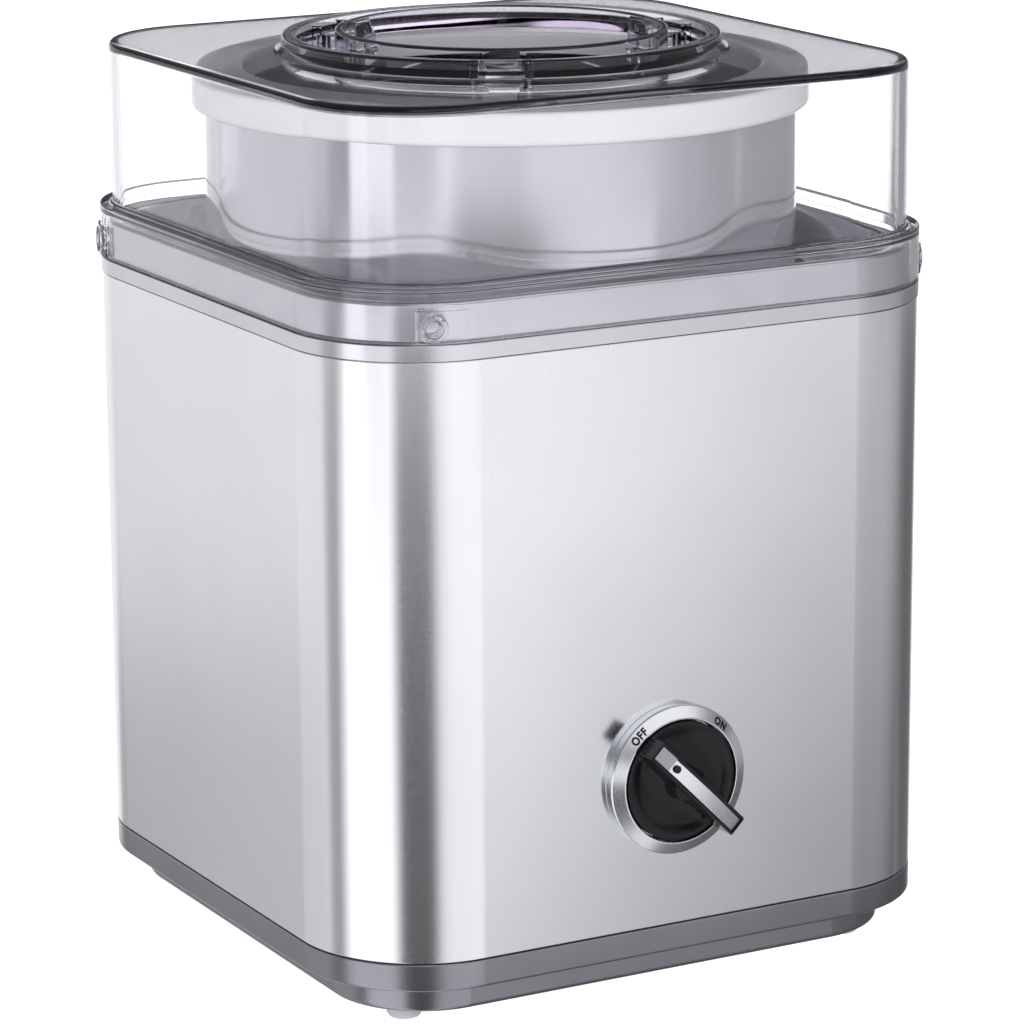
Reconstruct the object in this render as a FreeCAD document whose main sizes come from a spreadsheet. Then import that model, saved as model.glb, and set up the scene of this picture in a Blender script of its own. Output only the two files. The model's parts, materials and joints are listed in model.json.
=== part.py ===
import FreeCAD, Part
import math
import os
import re

import Sketcher

# Ice cream maker with a lift-out freezer bowl, in millimetres.  +Z is up, the bowl turns about
# the Z axis, the front with the dial faces -Y, and the feet stand on z = 0.

SIZES = {
    # housing, each piece inset from or stacked on the one before
    "housing_gap": 7.0, "corner": 40.6, "foot_height": 4.5, "pan_depth": 10.1, "skirt_height": 9.0,
    "wrap_height": 182.2, "band_height": 5.1, "wrap_wall": 0.8, "fit": 0.3, "tongue_wall": 1.8,
    "tongue_depth": 7.0, "plastic_wall": 2.2, "skirt_floor": 2.0, "skirt_ledge": 24.0,
    "trim_proud": 0.4, "trim_wall": 2.4, "trim_edge": 1.6, "deck_drop": 14.0,
    # base pan, feet and the columns that carry the tub
    "pan_inset": 10.2, "pan_wall": 2.0, "pan_floor": 2.2, "pan_edge": 1.6, "foot_radius": 5.5,
    "foot_inset": 26.5, "stem_radius": 2.5, "pan_screw_inset": 19.0, "pan_boss": 6.0,
    "column_inset": 23.7, "column_radius": 5.5, "column_bore": 14.0, "vent_width": 3.0,
    "vent_length": 46.0, "vent_pitch": 7.0, "vent_count": 8, "screw_radius": 1.55, "screw_hole": 1.6,
    "screw_head": 3.5, "head_height": 2.4, "screw_clear": 2.1,
    # tub that the bowl stands in
    "tub_gap": 4.7, "tub_wall": 2.0, "tub_rise": 13.0, "tub_floor": 3.5, "tub_bend": 6.0,
    "tub_below_trim": 4.8, "ear_thick": 4.0, "ear_drop": 6.6, "ear_width": 15.0,
    "lip_wall": 2.0, "lip_height": 4.0, "neck_gap": 5.0, "well_run": 6.0, "well_rise": 1.5,
    "deck_reach": 1.25,
    # lid
    "flange_height": 16.9, "box_height": 51.5, "lid_wall": 2.5, "lid_fit": 0.4, "box_inset": 4.1,
    "lid_edge": 3.0, "step_edge": 1.0, "collar_bore": 64.5, "collar_wall": 3.8,
    "collar_flare": 1.5, "collar_foot": 3.0, "collar_rise": 5.2, "guide_reach": 3.5,
    "guide_wall": 1.6, "guide_drop": 6.0,
    # freezer bowl
    "bowl_foot": 6.0, "rim_gap": 3.7, "bowl_radius": 91.3, "bowl_taper": 2.8,
    "bowl_wall": 2.2, "bowl_floor": 3.0, "bowl_bend": 7.0, "rim_proud": 3.9,
    "rim_height": 10.3, "rim_top": 3.6, "rim_round": 1.6, "gel_gap": 5.9,
    "liner_taper": 3.5, "liner_wall": 1.2, "liner_rise": 19.0, "liner_bend": 12.0,
    "lip_in": 1.5, "lip_down": 7.0, "socket_gap": 2.0, "socket_depth": 6.0,
    "socket_plate": 7.0, "fill_clear": 0.2, "fill_depth": 16.0, "plug_place": 62.0,
    "plug_radius": 6.0,
    # mixing paddle
    "ring_gap": 12.8, "ring_wall": 2.2, "ring_proud": 1.3, "ring_height": 23.8,
    "lug_width": 14.0, "lug_clear": 0.9, "lug_top": 5.5, "lug_height": 6.5, "lug_gap": 0.6,
    "lug_angle": 28.7, "arm_gap": 2.2, "arm_width": 11.0, "arm_thick": 4.0, "arm_top": 10.0,
    "floor_bar": 13.0, "vane_place": 36.0, "vane_width": 26.0, "vane_thick": 3.0,
    "vane_drop": 44.6, "vane_angle": 40.0, "paddle_gap": 0.3, "pivot_radius": 9.0,
    # drive
    "shaft_radius": 5.0, "hub_radius": 34.0, "hub_disc": 6.2, "hub_wall": 4.0, "key_width": 6.0,
    "key_length": 24.0, "key_start": 8.0, "key_height": 3.8, "key_gap": 0.6, "seat_gap": 0.3,
    "bush_wall": 2.0, "run_gap": 0.04, "press_gap": 0.02, "hub_screw_head": 4.6,
    "hub_screw_radius": 2.0, "gear_hub_wall": 4.0,
    # gearcase
    "case_stand": 6.0, "case_floor": 2.5, "case_cover": 3.0, "case_wall": 2.4,
    "case_gap": 2.85, "case_gap_right": 3.6, "case_gap_back": 4.61, "case_corner": 9.0,
    "post_radius": 6.0, "post_inset": 6.0, "pin_radius": 2.0, "boss_wall": 2.5,
    "bush_boss_wall": 3.0, "cover_boss": 6.0, "floor_boss": 7.5,
    # gear train: three reductions from the motor pinion to the output gear
    "module_one": 0.8, "module_two": 1.0, "module_three": 1.25, "pinion_teeth": 10,
    "wheel_one_teeth": 50, "pinion_two_teeth": 12, "wheel_two_teeth": 48,
    "pinion_three_teeth": 12, "output_teeth": 60, "pressure_angle": 25.0, "backlash": 0.16,
    "addendum": 0.95, "dedendum": 1.25,
    "pinion_shift": 0.2, "lift_one": 1.5, "face_one": 5.0, "lift_two": 1.0, "face_two": 6.0,
    "lift_three": 1.5, "face_three": 8.0, "lift_cover": 2.5, "second_axis_angle": 0.0,
    "first_axis_angle": 110.0, "motor_axis_angle": 165.0,
    # motor
    "stack_height": 16.0, "rotor_bore": 16.0, "rotor_gap": 0.6,
    "rotor_ring": 1.5, "bore_wall": 2.0, "window_half": 15.0, "window_depth": 11.0,
    "leg_depth": 11.0, "screw_wall": 5.0, "back_wall": 6.0, "motor_shaft": 2.0, "coil_thick": 8.0,
    "bobbin_wall": 1.2, "bobbin_gap": 0.2, "bracket_half": 8.0, "bracket_thick": 2.0,
    "bracket_stand": 4.0, "bracket_hub": 6.0, "hub_rise": 3.5, "motor_bush": 4.0,
    "motor_screw": 1.95, "fan_radius": 22.0, "fan_lift": 1.8, "fan_height": 5.0, "fan_gap": 1.0,
    "fan_blades": 8, "fan_plate": 1.2,
    # dial and switch, measured out from the front of the panel
    "dial_level": 70.2, "dial_angle": 45.0, "bezel_wall": 4.2, "bezel_side": 3.3,
    "bezel_top": 5.5, "bezel_bore": 19.1, "bezel_floor": 1.0, "knob_gap": 0.5,
    "knob_level": 3.4, "knob_disc": 1.9, "fin_width": 6.6, "fin_overhang": 0.7, "fin_inset": 0.8,
    "fin_height": 15.4, "insert_width": 4.6, "insert_thick": 1.3, "insert_end": 1.2,
    "tip_length": 6.6, "insert_gap": 0.05, "dial_shaft": 3.0, "dial_shaft_depth": 14.0,
    "dial_shaft_grip": 6.0, "thread_wall": 1.8, "thread_clear": 0.4, "nut_wall": 2.7,
    "nut_thick": 2.0, "switch_half": 15.0, "switch_depth": 20.0, "terminal_length": 7.0,
    "terminal_width": 6.3, "terminal_thick": 0.8, "terminal_place": 7.0,
    # cord inlet and wiring
    "gland_x": -55.0, "gland_level": 40.0, "gland_proud": 2.5, "gland_wall": 3.2,
    "gland_lip": 2.1, "gland_catch": 1.4, "gland_length": 10.0, "cord_bore": 3.7,
    "block_x": -70.0, "block_y": 45.0, "block_length": 30.0, "block_width": 18.0,
    "block_height": 12.0, "lead_radius": 1.3, "lead_bend": 9.0,
}

# Places worked out from the sizes, as expressions of the sheet.
HALF = "(bowl_radius + tub_gap + tub_wall + housing_gap)"
TRIM_HALF = f"({HALF} + trim_proud)"
Z_PAN = "foot_height"
Z_SKIRT = f"({Z_PAN} + pan_depth)"
Z_WRAP = f"({Z_SKIRT} + skirt_height)"
Z_TRIM = f"({Z_WRAP} + wrap_height)"
Z_FLANGE = f"({Z_TRIM} + band_height)"
Z_STEP = f"({Z_FLANGE} + flange_height)"
Z_LID_TOP = f"({Z_STEP} + box_height)"
Z_LID_UNDER = f"({Z_LID_TOP} - lid_wall)"
Z_COLLAR = f"({Z_LID_TOP} + collar_rise)"
Z_TRIM_TOP = f"({Z_STEP} - lid_wall - fit)"
TRIM_CORNER = "(corner + trim_proud)"
BAND_INSET = "(lid_wall + lid_fit)"
TONGUE_INSET = "(wrap_wall + fit)"
FOOT_PLACE = f"({HALF} - foot_inset)"
COLUMN_PLACE = f"({HALF} - column_inset)"
PAN_SCREW_PLACE = f"({HALF} - pan_screw_inset)"
Z_FAN = f"({Z_PAN} + pan_floor + fan_lift)"
BRACKET_DEPTH = "(hub_rise + bracket_thick + bracket_stand)"
Z_STACK = f"({Z_FAN} + fan_height + fan_gap + {BRACKET_DEPTH})"
Z_STACK_TOP = f"({Z_STACK} + stack_height)"
Z_CASE = f"({Z_STACK_TOP} + bracket_stand + bracket_thick + case_stand)"
LAYER_ONE = f"({Z_CASE} + case_floor + lift_one)"
LAYER_TWO = f"({LAYER_ONE} + face_one + lift_two)"
LAYER_THREE = f"({LAYER_TWO} + face_two + lift_three)"
Z_CASE_TOP = f"({LAYER_THREE} + face_three + lift_cover)"
Z_CASE_COVER = f"({Z_CASE_TOP} + case_cover)"
CASE_RISE = f"({Z_CASE_TOP} - {Z_CASE})"
Z_TUB = f"({Z_CASE_COVER} + tub_rise)"
Z_TUB_TOP = f"({Z_TRIM} - tub_below_trim)"
Z_EAR = f"({Z_TUB_TOP} - ear_drop)"
TUB_RADIUS = "(bowl_radius + tub_gap)"
TUB_OUTER = f"({TUB_RADIUS} + tub_wall)"
NECK = f"({TUB_OUTER} + 2 * fit)"
NECK_OUTER = f"({NECK} + plastic_wall)"
Z_NECK = f"({Z_TUB_TOP} - plastic_wall)"
DECK_REACH = f"({TRIM_HALF} * deck_reach)"
Z_DECK = f"({Z_TRIM_TOP} - trim_edge - plastic_wall)"
Z_BOWL = f"({Z_TUB} + bowl_foot)"
Z_RIM = f"({Z_LID_UNDER} - rim_gap)"
Z_RIM_UNDER = f"({Z_RIM} - rim_height)"
Z_SOCKET = f"({Z_BOWL} + socket_depth)"
Z_LINER_FLOOR = f"({Z_BOWL} + liner_rise)"
RIM_RADIUS = "(bowl_radius + rim_proud)"
LINER_RADIUS = "(bowl_radius - bowl_wall - gel_gap - liner_wall)"
LINER_LOW = f"({LINER_RADIUS} - liner_taper)"
SHELL_LOW = "(bowl_radius - bowl_taper)"
SOCKET_RADIUS = "(hub_radius + socket_gap)"
HUB_NECK = "(shaft_radius + hub_wall)"
NECK_HOLE = f"({HUB_NECK} + neck_gap)"
BUSH_RADIUS = "(shaft_radius + bush_wall)"
BUSH_BOSS = f"({BUSH_RADIUS} + bush_boss_wall)"
PIN_BOSS = "(pin_radius + boss_wall)"
Z_HUB_TOP = f"({Z_SOCKET} - seat_gap)"
Z_HUB_DISC = f"({Z_HUB_TOP} - hub_disc)"
RING_TOP = f"({Z_COLLAR} + ring_proud)"
COLLAR_TOP = "(collar_bore + collar_wall)"
RING_RADIUS = "(collar_bore - ring_gap)"
COLLAR_BASE = f"({COLLAR_TOP} + collar_flare)"
MOTOR_SCREW_PLACE = "(rotor_bore + screw_wall)"
STACK_HALF = f"({MOTOR_SCREW_PLACE} + screw_wall)"
WINDOW_START = "(rotor_bore + bore_wall)"
WINDOW_END = f"({WINDOW_START} + window_depth)"
STACK_FRONT = f"({WINDOW_END} + leg_depth)"
STACK_BACK = "(rotor_bore + back_wall)"
BEZEL_RADIUS = "(bezel_bore + bezel_wall)"
FIN_REACH = "(bezel_bore + fin_overhang)"
INSERT_REACH = f"({FIN_REACH} - insert_end)"
TIP_START = f"({INSERT_REACH} - tip_length)"
FIN_FOOT = "(bezel_bore - fin_inset)"
THREAD = "(dial_shaft + thread_wall)"
STEM_HOLE = f"({THREAD} + thread_clear)"
GLAND_RADIUS = "(cord_bore + gland_wall)"
GLAND_CATCH = f"({GLAND_RADIUS} + gland_catch)"
GLAND_FLANGE = f"({GLAND_RADIUS} + gland_lip)"

DOC = FreeCAD.newDocument("ice_cream_maker")
SHEET = DOC.addObject("Spreadsheet::Sheet", "Sizes")
for row, (name, size) in enumerate(SIZES.items(), start=1):
    SHEET.set(f"A{row}", name)
    SHEET.set(f"B{row}", str(size))
    SHEET.setAlias(f"B{row}", name)
DOC.recompute()

NODES = []
UP = FreeCAD.Vector(0, 0, 1)
NEAR = 0.01


def bound(text):
    """The expression with every size name pointing at the sheet."""
    return re.sub(r"[a-z][a-z0-9_]*", lambda word: sheet_name(word.group()), str(text))


def sheet_name(word):
    return f"Sizes.{word}" if word in SIZES else word


def value(text):
    """The number that an expression of sizes comes to."""
    return float(SHEET.evalExpression(bound(text)))


def add(kind, label):
    thing = DOC.addObject(kind, label)
    thing.Label = label
    return thing


def node(thing):
    """Lists an object as one of the parts that are written out."""
    NODES.append(thing)
    return thing


def move(thing, x="0", y="0", z="0"):
    for axis, text in zip("xyz", (x, y, z)):
        thing.setExpression(f"Placement.Base.{axis}", bound(text))
    return thing


def face_front(thing, turn=0.0):
    """Stands a part on the front panel: its own +Z comes out of the dial's centre."""
    spin = FreeCAD.Rotation(UP, turn)
    thing.Placement.Rotation = FreeCAD.Rotation(FreeCAD.Vector(1, 0, 0), 90).multiply(spin)
    return move(thing, "0", f"-{HALF}", "dial_level")


# ---- sketches ------------------------------------------------------------------------------

def sketch(body, plane="XY_Plane", level="0", x="0", y="0", turn=0.0):
    """An empty sketch on one of the body's own planes, moved along its normal by level."""
    count = len(body.Group) + 1
    drawing = body.newObject("Sketcher::SketchObject", f"{body.Name}_sketch_{count}")
    support = [item for item in body.Origin.OriginFeatures if item.Role == plane][0]
    drawing.AttachmentSupport = [(support, "")]
    drawing.MapMode = "FlatFace"
    drawing.AttachmentOffset = FreeCAD.Placement(FreeCAD.Vector(), FreeCAD.Rotation(UP, turn))
    for axis, text in zip("xyz", (x, y, level)):
        drawing.setExpression(f"AttachmentOffset.Base.{axis}", bound(text))
    return drawing


def hold(drawing, kind, geometry, point, text):
    """One dimension of a sketch, bound to the sheet."""
    place = (geometry,) if point is None else (geometry, point)
    index = drawing.addConstraint(Sketcher.Constraint(kind, *place, value(text)))
    drawing.setExpression(f"Constraints[{index}]", bound(text))


def outline(drawing, points):
    """A closed polygon whose corners are each held at an x and a y."""
    corners = [FreeCAD.Vector(value(x), value(y), 0) for x, y in points]
    first = drawing.GeometryCount
    count = len(corners)
    for index, corner in enumerate(corners):
        drawing.addGeometry(Part.LineSegment(corner, corners[(index + 1) % count]))
    for index, (x, y) in enumerate(points):
        following = first + (index + 1) % count
        drawing.addConstraint(Sketcher.Constraint("Coincident", first + index, 2, following, 1))
        hold(drawing, "DistanceX", first + index, 1, x)
        hold(drawing, "DistanceY", first + index, 1, y)
    return drawing


def rectangle(drawing, low_x, low_y, high_x, high_y):
    return outline(drawing, [(low_x, low_y), (high_x, low_y), (high_x, high_y), (low_x, high_y)])


def rounded(drawing, half_x, half_y, radius, x="0", y="0"):
    """A rectangle with four equal round corners about (x, y)."""
    across, along, bend = value(half_x), value(half_y), value(radius)
    centre_x, centre_y = value(x), value(y)
    first = drawing.GeometryCount
    for index in range(4):
        turn = FreeCAD.Rotation(UP, 90 * index)
        reach_x, reach_y = (along, across) if index % 2 == 0 else (across, along)
        start = turn.multVec(FreeCAD.Vector(bend - reach_y, -reach_x, 0))
        end = turn.multVec(FreeCAD.Vector(reach_y - bend, -reach_x, 0))
        middle = turn.multVec(FreeCAD.Vector(reach_y - bend, bend - reach_x, 0))
        shift = FreeCAD.Vector(centre_x, centre_y, 0)
        drawing.addGeometry(Part.LineSegment(start + shift, end + shift))
        ring = Part.Circle(middle + shift, UP, bend)
        low = math.radians(90 * index - 90)
        drawing.addGeometry(Part.ArcOfCircle(ring, low, low + math.pi / 2))
    for index in range(4):
        line, arc = first + 2 * index, first + 2 * index + 1
        following = first + (2 * index + 2) % 8
        drawing.addConstraint(Sketcher.Constraint("Tangent", line, 2, arc, 1))
        drawing.addConstraint(Sketcher.Constraint("Tangent", arc, 2, following, 1))
        level = "Horizontal" if index % 2 == 0 else "Vertical"
        drawing.addConstraint(Sketcher.Constraint(level, line))
        if index:
            drawing.addConstraint(Sketcher.Constraint("Equal", first + 1, arc))
    hold(drawing, "Radius", first + 1, None, radius)
    hold(drawing, "DistanceY", first, 1, f"{y} - ({half_y})")
    hold(drawing, "DistanceX", first + 2, 1, f"{x} + ({half_x})")
    hold(drawing, "DistanceY", first + 4, 1, f"{y} + ({half_y})")
    hold(drawing, "DistanceX", first + 6, 1, f"{x} - ({half_x})")
    return drawing


def square(drawing, inset, half=TRIM_HALF, corner=TRIM_CORNER):
    """The housing's rounded square, moved in all round by inset."""
    side = f"{half} - ({inset})"
    return rounded(drawing, side, side, f"{corner} - ({inset})")


def panel_square(drawing, inset):
    return square(drawing, inset, HALF, "corner")


def circle(drawing, radius, x="0", y="0"):
    centre = FreeCAD.Vector(value(x), value(y), 0)
    index = drawing.addGeometry(Part.Circle(centre, UP, value(radius)))
    hold(drawing, "Radius", index, None, radius)
    hold(drawing, "DistanceX", index, 3, x)
    hold(drawing, "DistanceY", index, 3, y)
    return drawing


# ---- features ------------------------------------------------------------------------------

def feature(body, kind, drawing):
    made = body.newObject(f"PartDesign::{kind}", f"{body.Name}_{kind.lower()}")
    made.Profile = drawing
    drawing.Visibility = False
    return made


def pad(body, drawing, length, middle=False):
    """Solid from the sketch along its normal, or to both sides of it."""
    made = feature(body, "Pad", drawing)
    made.setExpression("Length", bound(length))
    made.Midplane = middle
    return made


def cut(body, drawing, length, middle=False):
    """Removes what lies from the sketch along its normal, or to both sides of it."""
    made = feature(body, "Pocket", drawing)
    made.setExpression("Length", bound(length))
    made.Reversed = not middle
    made.Midplane = middle
    return made


def turn(body, drawing, kind="Revolution"):
    """Turns a profile, or a groove, about the sketch's own upright axis."""
    made = feature(body, kind, drawing)
    made.ReferenceAxis = (drawing, ["V_Axis"])
    made.Angle = 360.0
    return made


def around(body, features, count):
    """Repeats features evenly round the body's Z axis."""
    made = body.newObject("PartDesign::PolarPattern", f"{body.Name}_round")
    made.Originals = features
    axis = [item for item in body.Origin.OriginFeatures if item.Role == "Z_Axis"][0]
    made.Axis = (axis, [""])
    made.Angle = 360.0
    made.setExpression("Occurrences", bound(count))
    body.Tip = made
    return made


def along(body, features, length, count):
    """Repeats features evenly along the body's X axis."""
    made = body.newObject("PartDesign::LinearPattern", f"{body.Name}_row")
    made.Originals = features
    axis = [item for item in body.Origin.OriginFeatures if item.Role == "X_Axis"][0]
    made.Direction = (axis, [""])
    made.setExpression("Length", bound(length))
    made.setExpression("Occurrences", bound(count))
    body.Tip = made
    return made


def soften(body, radius, level, inset=None):
    """Rounds the level edges at one height, or only those on the trim's square moved in by inset."""
    DOC.recompute()
    base = body.Tip
    height, corner = value(level), value(TRIM_CORNER)
    straight = value(TRIM_HALF) - corner
    names = []
    for index, edge in enumerate(base.Shape.Edges, start=1):
        box = edge.BoundBox
        middle = edge.valueAt((edge.FirstParameter + edge.LastParameter) / 2)
        past_x, past_y = max(abs(middle.x) - straight, 0), max(abs(middle.y) - straight, 0)
        depth = corner - math.hypot(past_x, past_y)
        flat = abs(box.ZMin - height) < NEAR and abs(box.ZMax - height) < NEAR
        if flat and (inset is None or abs(depth - value(inset)) < NEAR):
            names.append(f"Edge{index}")
    made = body.newObject("PartDesign::Fillet", f"{body.Name}_edge")
    made.Base = (base, names)
    made.setExpression("Radius", bound(radius))
    return made


def body_of(label):
    return add("PartDesign::Body", label)


def turned(label, points, places=(("0", "0"),)):
    """A node made of one turned solid at each place, its profile given as radius and height."""
    body = body_of(label)
    for x, y in places:
        drawing = sketch(body, "XZ_Plane", f"-({y})", x)
        turn(body, outline(drawing, points))
    return node(body)


def bore(body, radius, x="0", y="0", level="-5", length="400"):
    """A round hole upwards from level."""
    return cut(body, circle(sketch(body, level=level), radius, x, y), length)


def boss(body, radius, level, length, x="0", y="0"):
    return pad(body, circle(sketch(body, level=level), radius, x, y), length)


def screws(label, places, head_level, reach, radius="screw_radius", head="screw_head"):
    """Pan-head screws driven upwards: heads below head_level, shanks up from it by reach."""
    profile = [("0", f"{head_level} - head_height"), (f"({head}) * 0.7", f"{head_level} - head_height"),
               (head, f"{head_level} - head_height * 0.5"), (head, head_level),
               (radius, head_level), (radius, f"{head_level} + {reach} - 1"),
               (f"{radius} * 0.5", f"{head_level} + {reach}"), ("0", f"{head_level} + {reach}")]
    return turned(label, profile, places)


def square_places(distance):
    return [(f"{sign_x} * {distance}", f"{sign_y} * {distance}")
            for sign_x in (-1, 1) for sign_y in (-1, 1)]


def axis_place(radius, angle, origin=("0", "0")):
    """A gear axis that lies one centre distance from another at an angle."""
    x, y = origin
    return f"({x} + ({radius}) * cos({angle}))", f"({y} + ({radius}) * sin({angle}))"


REACH_THREE = "module_three * (pinion_three_teeth + output_teeth) / 2"
REACH_TWO = "module_two * (pinion_two_teeth + wheel_two_teeth) / 2"
REACH_ONE = "module_one * (pinion_teeth + wheel_one_teeth) / 2"
SECOND_AXIS = axis_place(REACH_THREE, "second_axis_angle")
FIRST_AXIS = axis_place(REACH_TWO, "first_axis_angle", SECOND_AXIS)
MOTOR_AXIS = axis_place(REACH_ONE, "motor_axis_angle", FIRST_AXIS)
CASE_LEFT = "(module_three * (output_teeth / 2 + 1) + case_gap + case_wall)"
CASE_RIGHT = f"({REACH_THREE} + module_two * (wheel_two_teeth / 2 + 1) + case_gap_right + case_wall)"
CASE_BACK = f"({FIRST_AXIS[1]} + module_one * (wheel_one_teeth / 2 + 1) + case_gap_back + case_wall)"
CASE_X = f"(({CASE_RIGHT} - {CASE_LEFT}) / 2)"
CASE_Y = f"(({CASE_BACK} - {CASE_LEFT}) / 2)"
CASE_HALF_X = f"(({CASE_RIGHT} + {CASE_LEFT}) / 2)"
CASE_HALF_Y = f"(({CASE_BACK} + {CASE_LEFT}) / 2)"


# ---- housing -------------------------------------------------------------------------------

def base_skirt():
    """Lowest visible ring: a wall, a ledge inside it, and a tongue that the panel slips over."""
    body = body_of("base_skirt")
    inner = f"({TONGUE_INSET} + tongue_wall)"
    wall = panel_square(sketch(body, level=Z_SKIRT), "0")
    pad(body, panel_square(wall, inner), "skirt_height")
    ledge = panel_square(sketch(body, level=Z_SKIRT), "wrap_wall")
    pad(body, panel_square(ledge, "skirt_ledge"), "skirt_floor")
    tongue = panel_square(sketch(body, level=Z_WRAP), TONGUE_INSET)
    pad(body, panel_square(tongue, inner), "tongue_depth")
    boss(body, "pan_boss * 0.7", Z_SKIRT, "skirt_floor + 10", PAN_SCREW_PLACE)
    first_boss = body.Tip
    bore(body, "screw_hole", PAN_SCREW_PLACE, "0", Z_SKIRT, "skirt_floor + 9")
    around(body, [first_boss, body.Tip], "4")
    for x, y in square_places(COLUMN_PLACE):
        bore(body, "screw_clear", x, y, Z_SKIRT, "skirt_floor")
    return node(body)


def base_pan():
    """Bottom cover: a shallow tray with vents under the fan, bosses and foot holes."""
    body = body_of("base_pan")
    pad(body, panel_square(sketch(body, level=Z_PAN), "pan_inset"), "pan_depth")
    soften(body, "pan_edge", Z_PAN)
    hollow = panel_square(sketch(body, level=f"{Z_PAN} + pan_floor"), "pan_inset + pan_wall")
    cut(body, hollow, "pan_depth")
    boss(body, "pan_boss", Z_PAN, "pan_depth", PAN_SCREW_PLACE)
    post = body.Tip
    bore(body, "screw_clear", PAN_SCREW_PLACE, "0", Z_PAN, "pan_depth")
    hole = body.Tip
    bore(body, "screw_head + fit", PAN_SCREW_PLACE, "0", Z_PAN, "head_height + 1")
    around(body, [post, hole, body.Tip], "4")
    for x, y in square_places(FOOT_PLACE):
        bore(body, "stem_radius + 0.05", x, y, Z_PAN, "pan_floor")
    slot = sketch(body, level=Z_PAN)
    fan_x, fan_y = MOTOR_AXIS
    rounded(slot, "vent_width / 2", "vent_length / 2", "vent_width * 0.45",
            f"{fan_x} - vent_pitch * (vent_count - 1) / 2", fan_y)
    cut(body, slot, "pan_floor")
    along(body, [body.Tip], "vent_pitch * (vent_count - 1)", "vent_count")
    return node(body)


def rubber_feet():
    head = "stem_radius * 1.5"
    rise = f"{Z_PAN} + pan_floor"
    profile = [("0", "0"), ("foot_radius * 0.8", "0"), ("foot_radius", "foot_height * 0.35"),
               ("foot_radius", Z_PAN), ("stem_radius", Z_PAN), ("stem_radius", f"{rise} + 0.1"),
               (head, f"{rise} + 0.4"), ("stem_radius * 0.8", f"{rise} + 2"), ("0", f"{rise} + 2")]
    return turned("rubber_feet", profile, square_places(FOOT_PLACE))


def housing_wrap():
    """Steel panel that wraps the whole housing, pierced for the dial and the cord inlet."""
    body = body_of("housing_wrap")
    wall = panel_square(sketch(body, level=Z_WRAP), "0")
    pad(body, panel_square(wall, "wrap_wall"), "wrap_height")
    dial = circle(sketch(body, "XZ_Plane", f"{HALF} / 2"), STEM_HOLE, "0", "dial_level")
    cut(body, dial, HALF)
    inlet = circle(sketch(body, "XZ_Plane", f"-{HALF} * 1.5"), f"{GLAND_RADIUS} + 0.2",
                   "gland_x", "gland_level")
    cut(body, inlet, HALF)
    return node(body)


def corner_columns():
    foot = f"({Z_SKIRT} + skirt_floor)"
    profile = [("screw_hole", foot), ("column_radius", foot), ("column_radius", Z_EAR),
               ("screw_hole", Z_EAR), ("screw_hole", f"{Z_EAR} - column_bore"),
               ("0", f"{Z_EAR} - column_bore"), ("0", f"{foot} + column_bore"),
               ("screw_hole", f"{foot} + column_bore")]
    return turned("corner_columns", profile, square_places(COLUMN_PLACE))


def bowl_tub():
    """Round tub that the freezer bowl turns in, standing on the columns by four ears."""
    body = body_of("bowl_tub")
    under = f"({Z_TUB} - tub_floor)"
    profile = [("0", under), (TUB_OUTER, under), (TUB_OUTER, Z_TUB_TOP), (TUB_RADIUS, Z_TUB_TOP),
               (TUB_RADIUS, f"{Z_TUB} + tub_bend"), (f"{TUB_RADIUS} - tub_bend", Z_TUB), ("0", Z_TUB)]
    turn(body, outline(sketch(body, "XZ_Plane"), profile))
    lip = circle(sketch(body, level=under), f"{NECK_HOLE} + lip_wall")
    pad(body, lip, "tub_floor + lip_height")
    bore(body, NECK_HOLE, level=under, length="tub_floor + lip_height")
    ear = sketch(body, level=Z_EAR, turn=45.0)
    reach = f"{COLUMN_PLACE} * 1.41421 + column_radius"
    outline(ear, [(f"{TUB_OUTER} - 1", "-ear_width / 2"), (reach, "-ear_width / 2"),
                  (reach, "ear_width / 2"), (f"{TUB_OUTER} - 1", "ear_width / 2")])
    pad(body, ear, "ear_thick")
    plate = body.Tip
    bore(body, "screw_clear", COLUMN_PLACE, COLUMN_PLACE, Z_EAR, "ear_thick")
    around(body, [plate, body.Tip], "4")
    for x, y in case_places():
        boss(body, PIN_BOSS, Z_CASE_COVER, f"{under} - {Z_CASE_COVER} + 1", x, y)
        bore(body, "screw_hole", x, y, Z_CASE_COVER, "head_height * 4")
    return node(body)


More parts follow.
